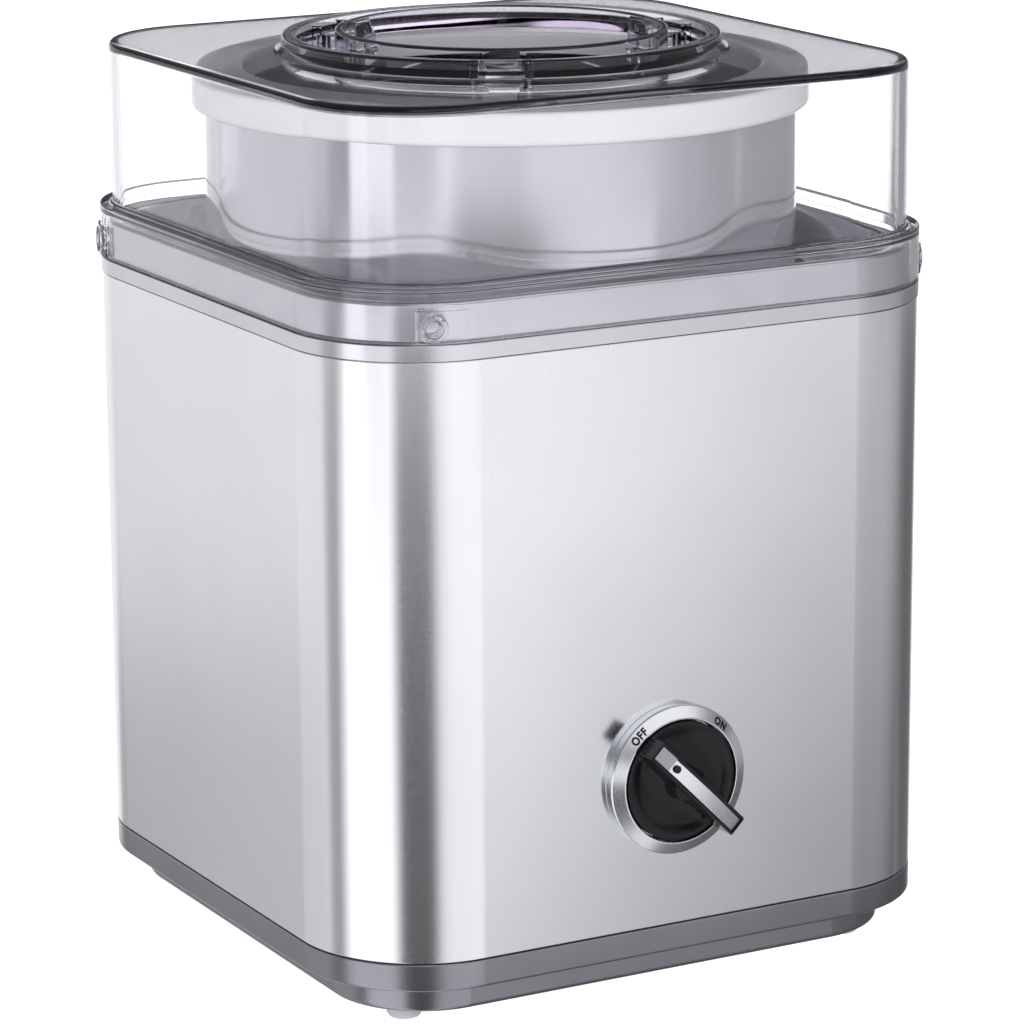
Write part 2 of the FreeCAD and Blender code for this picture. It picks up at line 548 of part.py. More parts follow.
def top_trim():
    """Silver ring on the panel: a band for the lid, and a deck falling to the tub's mouth."""
    ring = body_of("trim_ring")
    inner = f"({BAND_INSET} + trim_wall)"
    base = square(sketch(ring, level=Z_TRIM), "0")
    pad(ring, square(base, inner), "band_height")
    band = square(sketch(ring, level=Z_FLANGE), BAND_INSET)
    pad(ring, square(band, inner), f"{Z_TRIM_TOP} - {Z_FLANGE}")
    soften(ring, "trim_edge", Z_TRIM_TOP, BAND_INSET)
    tongue = panel_square(sketch(ring, level=f"{Z_TRIM} - tongue_depth"), TONGUE_INSET)
    pad(ring, panel_square(tongue, f"{TONGUE_INSET} + 2 * tongue_wall"), "tongue_depth")
    deck = body_of("trim_deck")
    low = f"({Z_DECK} - deck_drop)"
    thick = "plastic_wall"
    profile = [(NECK, Z_NECK), (NECK_OUTER, Z_NECK), (NECK_OUTER, f"{low} - {thick}"),
               (f"{NECK_OUTER} + well_run", f"{low} + well_rise"), (DECK_REACH, Z_DECK),
               (DECK_REACH, f"{Z_DECK} + {thick}"),
               (f"{NECK_OUTER} + well_run - 1", f"{low} + well_rise + {thick}"),
               (f"{NECK} + 1.6", low), (NECK, f"{low} - 2")]
    turn(deck, outline(sketch(deck, "XZ_Plane"), profile))
    block = body_of("trim_inside")
    pad(block, square(sketch(block, level=f"{Z_TRIM} - tongue_depth"), f"{inner} - 0.2"), HALF)
    clipped = add("Part::MultiCommon", "deck_clipped")
    clipped.Shapes = [deck, block]
    whole = add("Part::MultiFuse", "top_trim")
    whole.Shapes = [ring, clipped]
    return node(whole)


# ---- lid -----------------------------------------------------------------------------------

def clear_lid():
    """Clear cover: a flange round the trim, a box over the bowl, and the spout's collar."""
    body = body_of("clear_lid")
    seat = f"({Z_FLANGE} + fit)"
    pad(body, square(sketch(body, level=seat), "0"), f"{Z_STEP} - {seat}")
    soften(body, "step_edge", Z_STEP)
    box = square(sketch(body, level=f"{Z_STEP} - lid_wall"), "box_inset")
    pad(body, box, "box_height + lid_wall")
    soften(body, "lid_edge", Z_LID_TOP)
    cut(body, square(sketch(body, level=seat), BAND_INSET + " - lid_fit"), f"{Z_STEP} - lid_wall - {seat}")
    hollow = square(sketch(body, level=seat), "box_inset + lid_wall")
    cut(body, hollow, f"{Z_LID_UNDER} - {seat}")
    collar = sketch(body, "XZ_Plane")
    outline(collar, [("collar_bore - 1", Z_LID_UNDER), (f"{COLLAR_BASE} + collar_foot", Z_LID_UNDER),
                     (f"{COLLAR_BASE} + collar_foot", f"{Z_LID_TOP}"), (COLLAR_BASE, f"{Z_LID_TOP} + 1.5"),
                     (COLLAR_TOP, f"{Z_COLLAR} - 0.8"), (f"{COLLAR_TOP} - 1", Z_COLLAR),
                     ("collar_bore - 1", Z_COLLAR)])
    turn(body, collar)
    bore(body, "collar_bore", level=Z_LID_UNDER, length="collar_rise * 3")
    guide_level = f"({Z_LID_UNDER} - guide_drop)"
    rails = []
    for sign in (-1, 1):
        rail = sketch(body, level=guide_level, turn=-90.0 - value("lug_angle"))
        near = f"{sign} * (lug_width / 2 + lug_gap)"
        far = f"{sign} * (lug_width / 2 + lug_gap + guide_wall)"
        start = "collar_bore - guide_reach"
        outline(rail, [(start, near), ("collar_bore + 1", near), ("collar_bore + 1", far), (start, far)])
        rails.append(pad(body, rail, f"{Z_COLLAR} - {guide_level} - 1.5"))
    around(body, rails, "3")
    return node(body)


# ---- freezer bowl --------------------------------------------------------------------------

def bowl_shell():
    """Outer wall and bottom of the bowl, with a socket under it for the drive hub's keys."""
    body = body_of("bowl_shell")
    top = f"({Z_RIM} - rim_top - fit)"
    floor = f"({Z_BOWL} + bowl_floor)"
    socket_top = f"({Z_SOCKET} + socket_plate)"
    socket_out = f"({SOCKET_RADIUS} + bowl_wall)"
    profile = [(SOCKET_RADIUS, Z_BOWL), (f"{SHELL_LOW} - bowl_bend", Z_BOWL),
               (SHELL_LOW, f"{Z_BOWL} + bowl_bend"), ("bowl_radius", top),
               ("bowl_radius - bowl_wall", top),
               (f"{SHELL_LOW} - bowl_wall", f"{floor} + bowl_bend"),
               (f"{SHELL_LOW} - bowl_bend", floor), (socket_out, floor),
               (socket_out, socket_top), ("0", socket_top), ("0", Z_SOCKET),
               (SOCKET_RADIUS, Z_SOCKET)]
    turn(body, outline(sketch(body, "XZ_Plane"), profile))
    key = sketch(body, level=Z_SOCKET)
    side = "(key_width / 2 + key_gap)"
    start = "(key_start - key_gap)"
    end = "(key_start + key_length + key_gap)"
    outline(key, [(start, f"-{side}"), (end, f"-{side}"), (end, side), (start, side)])
    cut(body, key, "key_height + key_gap")
    around(body, [body.Tip], "4")
    bore(body, "hub_screw_head + key_gap", level=Z_SOCKET, length="key_gap * 3")
    bore(body, "plug_radius + 0.05", "plug_place", "0", Z_BOWL, "bowl_floor")
    return node(body)


def bowl_liner():
    """Metal cup that freezes the mix."""
    top = f"({Z_RIM} - rim_top - fit)"
    inside = f"({Z_LINER_FLOOR} + liner_wall)"
    bend = "liner_bend"
    profile = [("0", Z_LINER_FLOOR), (f"{LINER_LOW} - {bend}", Z_LINER_FLOOR),
               (f"{LINER_LOW} - {bend} * 0.22", f"{Z_LINER_FLOOR} + {bend} * 0.3"),
               (f"{LINER_LOW} + liner_wall", f"{Z_LINER_FLOOR} + {bend}"),
               (f"{LINER_RADIUS} + liner_wall", top), (LINER_RADIUS, top),
               (LINER_LOW, f"{inside} + {bend}"),
               (f"{LINER_LOW} - {bend} * 0.3", f"{inside} + {bend} * 0.3"),
               (f"{LINER_LOW} - {bend}", inside), ("0", inside)]
    return turned("bowl_liner", profile)


def bowl_rim():
    """White ring that caps the shell and the liner."""
    under = f"({Z_RIM} - rim_top)"
    inner = f"({LINER_RADIUS} - lip_in)"
    profile = [(inner, f"{Z_RIM} - lip_down"), (f"{inner} + lip_in - 0.2", f"{Z_RIM} - lip_down"),
               (f"{inner} + lip_in - 0.2", under), ("bowl_radius + 0.2", under),
               ("bowl_radius + 0.2", Z_RIM_UNDER), (f"{RIM_RADIUS} - rim_round", Z_RIM_UNDER),
               (RIM_RADIUS, f"{Z_RIM_UNDER} + rim_round"), (RIM_RADIUS, f"{Z_RIM} - rim_round"),
               (f"{RIM_RADIUS} - rim_round", Z_RIM), (f"{inner} + rim_round", Z_RIM),
               (inner, f"{Z_RIM} - rim_round")]
    return turned("bowl_rim", profile)


def coolant_fill():
    """Sealed freezing liquid between the bowl's two walls."""
    gap = "fill_clear"
    floor = f"({Z_BOWL} + bowl_floor + {gap})"
    top = f"({Z_RIM} - fill_depth)"
    span = f"({Z_RIM} - rim_top - fit - {Z_BOWL} - bowl_bend)"
    missing = f"((fill_depth - rim_top - fit) / {span})"
    liner_gap = "(liner_wall + 3 * fill_clear)"
    profile = [(f"{SOCKET_RADIUS} + bowl_wall + {gap}", floor),
               (f"{SHELL_LOW} - bowl_bend - {gap}", floor),
               (f"{SHELL_LOW} - bowl_wall - 2 * {gap}", f"{floor} + bowl_bend"),
               (f"bowl_radius - bowl_wall - bowl_taper * {missing} - 3 * {gap}", top),
               (f"{LINER_RADIUS} - liner_taper * {missing} + {liner_gap} + {gap}", top),
               (f"{LINER_LOW} + {liner_gap}", f"{Z_LINER_FLOOR} + liner_bend"),
               (f"{LINER_LOW} - liner_bend * 0.2", f"{Z_LINER_FLOOR} + liner_bend * 0.15"),
               (f"{LINER_LOW} - liner_bend", f"{Z_LINER_FLOOR} - {gap}"),
               ("0", f"{Z_LINER_FLOOR} - {gap}"), ("0", f"{Z_SOCKET} + socket_plate + {gap}"),
               (f"{SOCKET_RADIUS} + bowl_wall + {gap}", f"{Z_SOCKET} + socket_plate + {gap}")]
    return turned("coolant_fill", profile)


def fill_plug():
    profile = [("0", f"{Z_BOWL} + 0.4"), ("plug_radius", f"{Z_BOWL} + 0.4"),
               ("plug_radius", f"{Z_BOWL} + bowl_floor"), ("0", f"{Z_BOWL} + bowl_floor")]
    return turned("fill_plug", profile, [("plug_place", "0")])


# ---- mixing paddle -------------------------------------------------------------------------

def mixing_paddle():
    """Clear paddle that stands still while the bowl turns: a ring, two arms and two vanes."""
    body = body_of("mixing_paddle")
    ring_foot = f"({RING_TOP} - ring_height)"
    inner = f"({RING_RADIUS} - ring_wall)"
    profile = [(inner, ring_foot), (RING_RADIUS, ring_foot), (RING_RADIUS, f"{RING_TOP} - 0.8"),
               (f"{RING_RADIUS} - 0.8", RING_TOP), (f"{inner} + 0.5", RING_TOP),
               (inner, f"{RING_TOP} - 0.5")]
    turn(body, outline(sketch(body, "XZ_Plane"), profile))
    lug = sketch(body, level=f"{RING_TOP} - lug_top - lug_height", turn=-90.0 - value("lug_angle"))
    start = f"({RING_RADIUS} - ring_wall / 2)"
    rectangle(lug, start, "-lug_width / 2", "collar_bore - lug_clear", "lug_width / 2")
    pad(body, lug, "lug_height")
    around(body, [body.Tip], "3")
    outer_top = f"({LINER_RADIUS} - lip_in - arm_gap)"
    outer_low = f"({LINER_LOW} - arm_gap)"
    floor = f"({Z_LINER_FLOOR} + liner_wall)"
    foot = f"({floor} + arm_gap)"
    corner = "liner_bend"
    frame = sketch(body, "XZ_Plane")
    outline(frame, [(f"-{outer_low} + {corner}", foot), (f"{outer_low} - {corner}", foot),
                    (outer_low, f"{foot} + {corner}"), (outer_top, f"{ring_foot} + arm_top"),
                    (f"-{outer_top}", f"{ring_foot} + arm_top"), (f"-{outer_low}", f"{foot} + {corner}")])
    inner_top = f"({outer_top} - arm_width)"
    inner_low = f"({outer_low} - arm_width)"
    bar = f"({foot} + floor_bar)"
    outline(frame, [(f"-{inner_low} + {corner}", bar), (f"{inner_low} - {corner}", bar),
                    (inner_low, f"{bar} + {corner}"), (inner_top, f"{ring_foot} - 1"),
                    (start, f"{ring_foot} - 1"), (start, f"{ring_foot} + arm_top - 1"),
                    (f"-{start}", f"{ring_foot} + arm_top - 1"), (f"-{start}", f"{ring_foot} - 1"),
                    (f"-{inner_top}", f"{ring_foot} - 1"), (f"-{inner_low}", f"{bar} + {corner}")])
    pad(body, frame, "arm_thick", middle=True)
    gap_in_ring = sketch(body, level=f"{ring_foot} - 1")
    circle(gap_in_ring, inner)
    cut(body, gap_in_ring, "ring_height + 2")
    for sign in (-1, 1):
        vane = sketch(body, level=f"{foot} + 1", x=f"{sign} * vane_place", turn=value("vane_angle"))
        rounded(vane, "vane_width / 2", "vane_thick / 2", "vane_thick * 0.4")
        pad(body, vane, f"{ring_foot} - vane_drop - {foot} - 1")
    boss(body, "pivot_radius", f"{floor} + paddle_gap", "floor_bar")
    return node(body)


# ---- drive hub and gear train --------------------------------------------------------------

def drive_hub():
    body = body_of("drive_hub")
    foot = f"({Z_CASE_COVER} + cover_boss + fit)"
    bore_radius = "(shaft_radius + press_gap)"
    cup = "(hub_screw_head + 0.4)"
    shoulder = f"({Z_HUB_TOP} - head_height * 2)"
    profile = [(bore_radius, foot), (HUB_NECK, foot), (HUB_NECK, Z_HUB_DISC),
               ("hub_radius", Z_HUB_DISC), ("hub_radius", f"{Z_HUB_TOP} - 1"),
               ("hub_radius - 1", Z_HUB_TOP), (cup, Z_HUB_TOP), (cup, shoulder),
               (bore_radius, shoulder)]
    turn(body, outline(sketch(body, "XZ_Plane"), profile))
    key = sketch(body, level=f"{Z_HUB_TOP} - 1")
    outline(key, [("key_start", "-key_width / 2"), ("key_start + key_length", "-key_width / 2"),
                  ("key_start + key_length", "key_width / 2"), ("key_start", "key_width / 2")])
    pad(body, key, "key_height + 1")
    around(body, [body.Tip], "4")
    return node(body)


def output_shaft():
    top = f"({Z_HUB_TOP} - head_height * 2)"
    profile = [("0", f"{Z_CASE} + 1"), ("shaft_radius - 0.5", f"{Z_CASE} + 1"),
               ("shaft_radius", f"{Z_CASE} + 1.5"), ("shaft_radius", top),
               ("hub_screw_radius + 0.05", top), ("hub_screw_radius + 0.05", f"{top} - 11"),
               ("0", f"{top} - 11")]
    return turned("output_shaft", profile)


def hub_screw():
    top = f"({Z_HUB_TOP} - head_height * 2)"
    profile = [("0", f"{top} - 10"), ("hub_screw_radius", f"{top} - 9"), ("hub_screw_radius", top),
               ("hub_screw_head", top), ("hub_screw_head", f"{top} + head_height"),
               ("hub_screw_head - 1", f"{top} + head_height + 0.8"),
               ("0", f"{top} + head_height + 0.8")]
    return turned("hub_screw", profile)


def output_bushes():
    """Two plain bearings for the output shaft, in the case floor and in the cover."""
    body = body_of("output_bushes")
    hole = "(shaft_radius + run_gap)"
    spans = [(Z_CASE, f"{Z_CASE} + case_floor + floor_boss"),
             (Z_CASE_TOP, f"{Z_CASE_COVER} + cover_boss")]
    for low, high in spans:
        profile = [(hole, low), (BUSH_RADIUS, low), (BUSH_RADIUS, high), (hole, high)]
        turn(body, outline(sketch(body, "XZ_Plane"), profile))
    return node(body)


def case_places():
    """Centres of the four screw posts in the gearcase's corners."""
    return [(f"({CASE_X} + {sign_x} * ({CASE_HALF_X} - post_inset))",
             f"({CASE_Y} + {sign_y} * ({CASE_HALF_Y} - post_inset))")
            for sign_x in (-1, 1) for sign_y in (-1, 1)]


def motor_screw_places():
    x, y = MOTOR_AXIS
    return [(f"({x} + {sign} * {MOTOR_SCREW_PLACE})", y) for sign in (-1, 1)]


def case_outline(drawing, inset="0"):
    return rounded(drawing, f"{CASE_HALF_X} - {inset}", f"{CASE_HALF_Y} - {inset}",
                   f"case_corner - {inset}", CASE_X, CASE_Y)


def gearcase_base():
    body = body_of("gearcase_base")
    floor = f"({Z_CASE} + case_floor)"
    pad(body, case_outline(sketch(body, level=Z_CASE)), CASE_RISE)
    cut(body, case_outline(sketch(body, level=floor), "case_wall"), f"{CASE_RISE} - case_floor")
    for x, y in case_places():
        boss(body, "post_radius", Z_CASE, CASE_RISE, x, y)
        bore(body, "screw_clear", x, y, Z_CASE, CASE_RISE)
    boss(body, BUSH_BOSS, Z_CASE, "case_floor + floor_boss")
    bore(body, f"{BUSH_RADIUS} + press_gap", level=Z_CASE, length="case_floor + floor_boss")
    boss(body, PIN_BOSS, Z_CASE, f"{LAYER_ONE} - {floor} + case_floor - 0.3", *FIRST_AXIS)
    bore(body, "pin_radius + press_gap", *FIRST_AXIS, f"{Z_CASE} + 0.5", "20")
    boss(body, PIN_BOSS, Z_CASE, f"{LAYER_TWO} - {floor} + case_floor - 0.3", *SECOND_AXIS)
    bore(body, "pin_radius + press_gap", *SECOND_AXIS, f"{Z_CASE} + 0.5", "20")
    stand = f"({Z_STACK_TOP} + bracket_stand + bracket_thick)"
    for x, y in motor_screw_places():
        boss(body, PIN_BOSS, stand, f"{Z_CASE} - {stand} + 1", x, y)
        bore(body, "motor_screw + 0.05", x, y, stand, f"{Z_CASE} - {stand} + case_floor * 0.8")
    bore(body, "bracket_hub + 0.5", *MOTOR_AXIS, Z_CASE, "case_floor")
    return node(body)


def gearcase_cover():
    body = body_of("gearcase_cover")
    pad(body, case_outline(sketch(body, level=Z_CASE_TOP)), "case_cover")
    for x, y in case_places():
        bore(body, "screw_clear", x, y, Z_CASE_TOP, "case_cover")
    boss(body, BUSH_BOSS, Z_CASE_TOP, "case_cover + cover_boss")
    bore(body, f"{BUSH_RADIUS} + press_gap", level=Z_CASE_TOP, length="case_cover + cover_boss")
    spans = [(FIRST_AXIS, f"({LAYER_TWO} + face_two + 1.2)"),
             (SECOND_AXIS, f"({LAYER_THREE} + face_three + fit)")]
    for (x, y), level in spans:
        boss(body, f"{PIN_BOSS} - 0.8", level, f"{Z_CASE_TOP} - {level} + 1", x, y)
        bore(body, "pin_radius + press_gap", x, y, level, f"{Z_CASE_COVER} - {level} - 0.5")
    return node(body)


def gear_pins():
    profile = [("0", f"{Z_CASE} + 0.5"), ("pin_radius", f"{Z_CASE} + 0.5"),
               ("pin_radius", f"{Z_CASE_COVER} - 0.5"), ("0", f"{Z_CASE_COVER} - 0.5")]
    return turned("gear_pins", profile, [FIRST_AXIS, SECOND_AXIS])


def polar(radius, angle, level):
    return FreeCAD.Vector(radius * math.cos(angle), radius * math.sin(angle), level)


def toothed(teeth, module, shift, low, height):
    """A spur gear about Z with a tooth on +X; each flank is one arc through the involute."""
    slope = math.radians(value("pressure_angle"))
    pitch = module * teeth / 2
    base = pitch * math.cos(slope)
    tip = module * (teeth / 2 + value("addendum") + shift)
    root = module * (teeth / 2 - value("dedendum") + shift)
    thickness = module * (math.pi / 2 + 2 * shift * math.tan(slope)) - value("backlash") / 2
    half_at_pitch = thickness / (2 * pitch) + math.tan(slope) - slope
    start = max(base, root)
    flank = (start, (start + tip) / 2, tip)

    def half_angle(radius):
        """Half the angle that a tooth fills at a radius."""
        roll = math.acos(min(base / radius, 1))
        return half_at_pitch - math.tan(roll) + roll

    edges = []
    for index in range(teeth):
        middle = 2 * math.pi * index / teeth
        rising = [polar(radius, middle - half_angle(radius), low) for radius in flank]
        falling = [polar(radius, middle + half_angle(radius), low) for radius in flank]
        crown = polar(tip, middle, low)
        near = polar(root, middle - half_angle(start), low)
        far = polar(root, middle + half_angle(start), low)
        following = polar(root, middle + 2 * math.pi / teeth - half_angle(start), low)
        if root < start:
            edges.append(Part.LineSegment(near, rising[0]).toShape())
        edges.append(Part.Arc(*rising).toShape())
        edges.append(Part.Arc(rising[2], crown, falling[2]).toShape())
        edges.append(Part.Arc(falling[2], falling[1], falling[0]).toShape())
        if root < start:
            edges.append(Part.LineSegment(falling[0], far).toShape())
        valley = polar(root, middle + math.pi / teeth, low)
        edges.append(Part.Arc(far, valley, following).toShape())
    return Part.Face(Part.Wire(edges)).extrude(UP * height)


def ring_solid(radius, low, height):
    return Part.makeCylinder(radius, height, FreeCAD.Vector(0, 0, low))


def gear_node(label, shape, place, phase):
    """A finished gear, turned by phase degrees and set on its axis."""
    gear = add("Part::Feature", label)
    gear.Shape = shape.removeSplitter()
    x, y = (value(text) for text in place)
    gear.Placement = FreeCAD.Placement(FreeCAD.Vector(x, y, 0), FreeCAD.Rotation(UP, phase))
    return node(gear)


def gear_train():
    """Motor pinion, two compound gears and the output gear, each in mesh with the next."""
    shift = value("pinion_shift")
    hole = value("pin_radius + run_gap")
    one, two, three = value(LAYER_ONE), value(LAYER_TWO), value(LAYER_THREE)
    face_one, face_two, face_three = value("face_one"), value("face_two"), value("face_three")
    small, wheel_one = int(value("pinion_teeth")), int(value("wheel_one_teeth"))
    pinion_two, wheel_two = int(value("pinion_two_teeth")), int(value("wheel_two_teeth"))
    pinion_three, output = int(value("pinion_three_teeth")), int(value("output_teeth"))
    second, first = value("second_axis_angle"), value("first_axis_angle")
    motor = value("motor_axis_angle")

    # Each gear has a tooth on +X before its phase.  A driven gear shows the driver a gap, half a
    # tooth round from the line between their axes.
    wheel = toothed(output, value("module_three"), -shift, three, face_three)
    hub_low = value(f"{Z_CASE} + case_floor + floor_boss + fit")
    hub = ring_solid(value("shaft_radius + gear_hub_wall"), hub_low, three - hub_low + face_three + 2)
    bored = wheel.fuse(hub).cut(ring_solid(value("shaft_radius + press_gap"), hub_low - 1, 40))
    output_phase = second + 180 / output
    gear_node("output_gear", bored, ("0", "0"), output_phase)

    wheel = toothed(wheel_two, value("module_two"), -shift, two, face_two)
    pinion = toothed(pinion_three, value("module_three"), shift, two + face_two,
                     three - two - face_two + face_three)
    # The third pinion meets the output gear with a tooth; the wheel under it is moulded in line.
    second_phase = second + 180
    shape = wheel.fuse(pinion).cut(ring_solid(hole, two - 1, 60))
    gear_node("second_gear", shape, SECOND_AXIS, second_phase)

    wheel = toothed(wheel_one, value("module_one"), -shift, one, face_one)
    pinion = toothed(pinion_two, value("module_two"), shift, one + face_one,
                     two - one - face_one + face_two + 0.6)
    # Seen from the second axis, this line of centres falls somewhere in that wheel's pitch.
    pitch_two = 360 / wheel_two
    offset = (first - second_phase) / pitch_two
    short = (offset - math.floor(offset) - 0.5) * pitch_two
    first_phase = first + 180 + short * wheel_two / pinion_two
    shape = wheel.fuse(pinion).cut(ring_solid(hole, one - 1, 60))
    gear_node("first_gear", shape, FIRST_AXIS, first_phase)

    pitch_one = 360 / wheel_one
    offset = (motor - first_phase) / pitch_one
    short = (offset - math.floor(offset) - 0.5) * pitch_one
    shape = toothed(small, value("module_one"), shift, one - 0.3, face_one + 0.9)
    shape = shape.cut(ring_solid(value("motor_shaft + press_gap"), one - 2, 20))
    motor_phase = motor + 180 + short * wheel_one / small
    gear_node("motor_pinion", shape, MOTOR_AXIS, motor_phase)


# ---- motor ---------------------------------------------------------------------------------

def at_motor(body):
    """The motor is drawn about its own shaft, with its coil towards the output axis."""
    body.Placement.Rotation = FreeCAD.Rotation(UP, 180)
    return move(body, *MOTOR_AXIS)


def stator_core():
    body = body_of("stator_core")
    plate = sketch(body, level=Z_STACK)
    rectangle(plate, f"-{STACK_HALF}", f"-{STACK_BACK}", STACK_HALF, STACK_FRONT)
    circle(plate, "rotor_bore")
    rectangle(plate, "-window_half", WINDOW_START, "window_half", WINDOW_END)
    pad(body, plate, "stack_height")
    for sign in (-1, 1):
        bore(body, "motor_screw + 0.1", f"{sign} * {MOTOR_SCREW_PLACE}", "0", Z_STACK, "stack_height")
    return node(at_motor(body))


def coil_section(drawing, outward):
    """Rectangle round the core's leg, moved outward from its faces."""
    return rectangle(drawing, f"{WINDOW_END} - ({outward})", f"{Z_STACK} - ({outward})",
                     f"{STACK_FRONT} + {outward}", f"{Z_STACK_TOP} + {outward}")


def coil_bobbin():
    body = body_of("coil_bobbin")
    flange = "bobbin_wall"
    reach = "(window_half - 0.4)"
    tube = coil_section(sketch(body, "YZ_Plane", f"-{reach}"), "bobbin_gap + bobbin_wall")
    pad(body, coil_section(tube, "bobbin_gap"), f"2 * {reach}")
    for level in (f"-{reach}", f"{reach} - {flange}"):
        wall = coil_section(sketch(body, "YZ_Plane", level), "bobbin_wall + coil_thick + 0.6")
        pad(body, coil_section(wall, "bobbin_gap"), flange)
    return node(at_motor(body))


def motor_winding():
    body = body_of("motor_winding")
    reach = "(window_half - 0.4 - bobbin_wall - 0.1)"
    turns = coil_section(sketch(body, "YZ_Plane", f"-{reach}"), "bobbin_wall + coil_thick")
    pad(body, coil_section(turns, "bobbin_gap + bobbin_wall + 0.05"), f"2 * {reach}")
    return node(at_motor(body))


def motor_bracket(label, foot, bar, hub_low):
    """Bar across one end of the stack, on two feet, with a hub for the shaft's bush."""
    body = body_of(label)
    beam = sketch(body, level=bar)
    rectangle(beam, f"-{STACK_HALF}", "-bracket_half", STACK_HALF, "bracket_half")
    pad(body, beam, "bracket_thick")
    for sign in (-1, 1):
        stand = sketch(body, level=foot)
        near, far = f"{sign} * (rotor_bore + 1)", f"{sign} * {STACK_HALF}"
        rectangle(stand, near, "-bracket_half", far, "bracket_half")
        pad(body, stand, "bracket_stand")
    boss(body, "bracket_hub", hub_low, "hub_rise + bracket_thick")
    bore(body, "motor_bush + press_gap", level=hub_low, length="hub_rise + bracket_thick")
    for sign in (-1, 1):
        low = f"({Z_STACK_TOP} - 3 * stack_height)"
        bore(body, "motor_screw + 0.1", f"{sign} * {MOTOR_SCREW_PLACE}", "0", low, "stack_height * 4")
    return node(at_motor(body))


def motor_rotor():
    low, high = f"({Z_STACK} - rotor_ring)", f"({Z_STACK_TOP} + rotor_ring)"
    reach = "(rotor_bore - rotor_gap)"
    hole = "(motor_shaft + press_gap)"
    profile = [(hole, low), (reach, low), (reach, high), (hole, high)]
    at_motor(turned("motor_rotor", profile))
    low, high = f"({Z_FAN} - 0.3)", f"({LAYER_ONE} + face_one + 0.8)"
    profile = [("0", low), ("motor_shaft", low), ("motor_shaft", high), ("0", high)]
    at_motor(turned("motor_shaft_rod", profile))


def motor_bushes():
    body = body_of("motor_bushes")
    hole = "(motor_shaft + run_gap)"
    upper = f"({Z_STACK_TOP} + bracket_stand)"
    lower = f"({Z_STACK} - bracket_stand - bracket_thick - hub_rise)"
    for low in (upper, lower):
        high = f"{low} + bracket_thick + hub_rise"
        profile = [(hole, low), ("motor_bush", low), ("motor_bush", high), (hole, high)]
        turn(body, outline(sketch(body, "XZ_Plane"), profile))
    return node(at_motor(body))


def cooling_fan():
    body = body_of("cooling_fan")
    hub = circle(sketch(body, level=Z_FAN), "bracket_hub - 0.5")
    pad(body, hub, "fan_height")
    boss(body, "fan_radius", Z_FAN, "fan_plate")
    blade = sketch(body, level=Z_FAN, turn=20.0)
    rectangle(blade, "bracket_hub - 1.5", "-0.6", "fan_radius - 1", "0.6")
    pad(body, blade, "fan_height")
    around(body, [body.Tip], "fan_blades")
    bore(body, "motor_shaft + press_gap", level=Z_FAN, length="fan_height")
    return node(at_motor(body))


# ---- dial ----------------------------------------------------------------------------------

def dial_bezel():
    profile = [(STEM_HOLE, "0"), (BEZEL_RADIUS, "0"), (BEZEL_RADIUS, "bezel_side"),
               ("bezel_bore", "bezel_top"), ("bezel_bore", "bezel_floor"),
               (STEM_HOLE, "bezel_floor")]
    face_front(turned("dial_bezel", profile))


def knob_body():
    """Black disc with a tall grip fin; the fin's top is slotted for two bright inserts."""
    body = body_of("knob_body")
    top = "(knob_level + knob_disc)"
    pad(body, circle(sketch(body, level="knob_level"), "bezel_bore - knob_gap"), "knob_disc")
    boss(body, "dial_shaft + 2.5", "knob_level", "dial_shaft_grip")
    fin = sketch(body, "YZ_Plane")
    step = "(bezel_top + 0.7)"
    outline(fin, [(f"-{FIN_FOOT}", "knob_level + 0.5"), (FIN_FOOT, "knob_level + 0.5"),
                  (FIN_FOOT, step), (FIN_REACH, f"{step} + 1.5"),
                  (FIN_REACH, "fin_height - 1"), (f"{FIN_REACH} - 1", "fin_height"),
                  (f"1 - {FIN_REACH}", "fin_height"), (f"-{FIN_REACH}", "fin_height - 1"),
                  (f"-{FIN_REACH}", f"{step} + 1.5"), (f"-{FIN_FOOT}", step)])
    pad(body, fin, "fin_width", middle=True)
    slot = sketch(body, level="fin_height - insert_thick")
    rectangle(slot, "-insert_width / 2", f"-{INSERT_REACH}", "insert_width / 2", INSERT_REACH)
    cut(body, slot, "insert_thick")
    bore(body, "dial_shaft + press_gap", level="knob_level", length="dial_shaft_grip")
    DOC.recompute()
    return node(face_front(body, value("dial_angle")))


def knob_strip(label, low, high):
    body = body_of(label)
    strip = sketch(body, level="fin_height - insert_thick")
    side = "(insert_width / 2 - insert_gap)"
    rectangle(strip, f"-{side}", low, side, high)
    pad(body, strip, "insert_thick")
    return node(face_front(body, value("dial_angle")))


def dial_shaft():
    profile = [("0", "-dial_shaft_depth"), ("dial_shaft", "-dial_shaft_depth"),
               ("dial_shaft", "knob_level + dial_shaft_grip"), ("0", "knob_level + dial_shaft_grip")]
    face_front(turned("dial_shaft", profile))


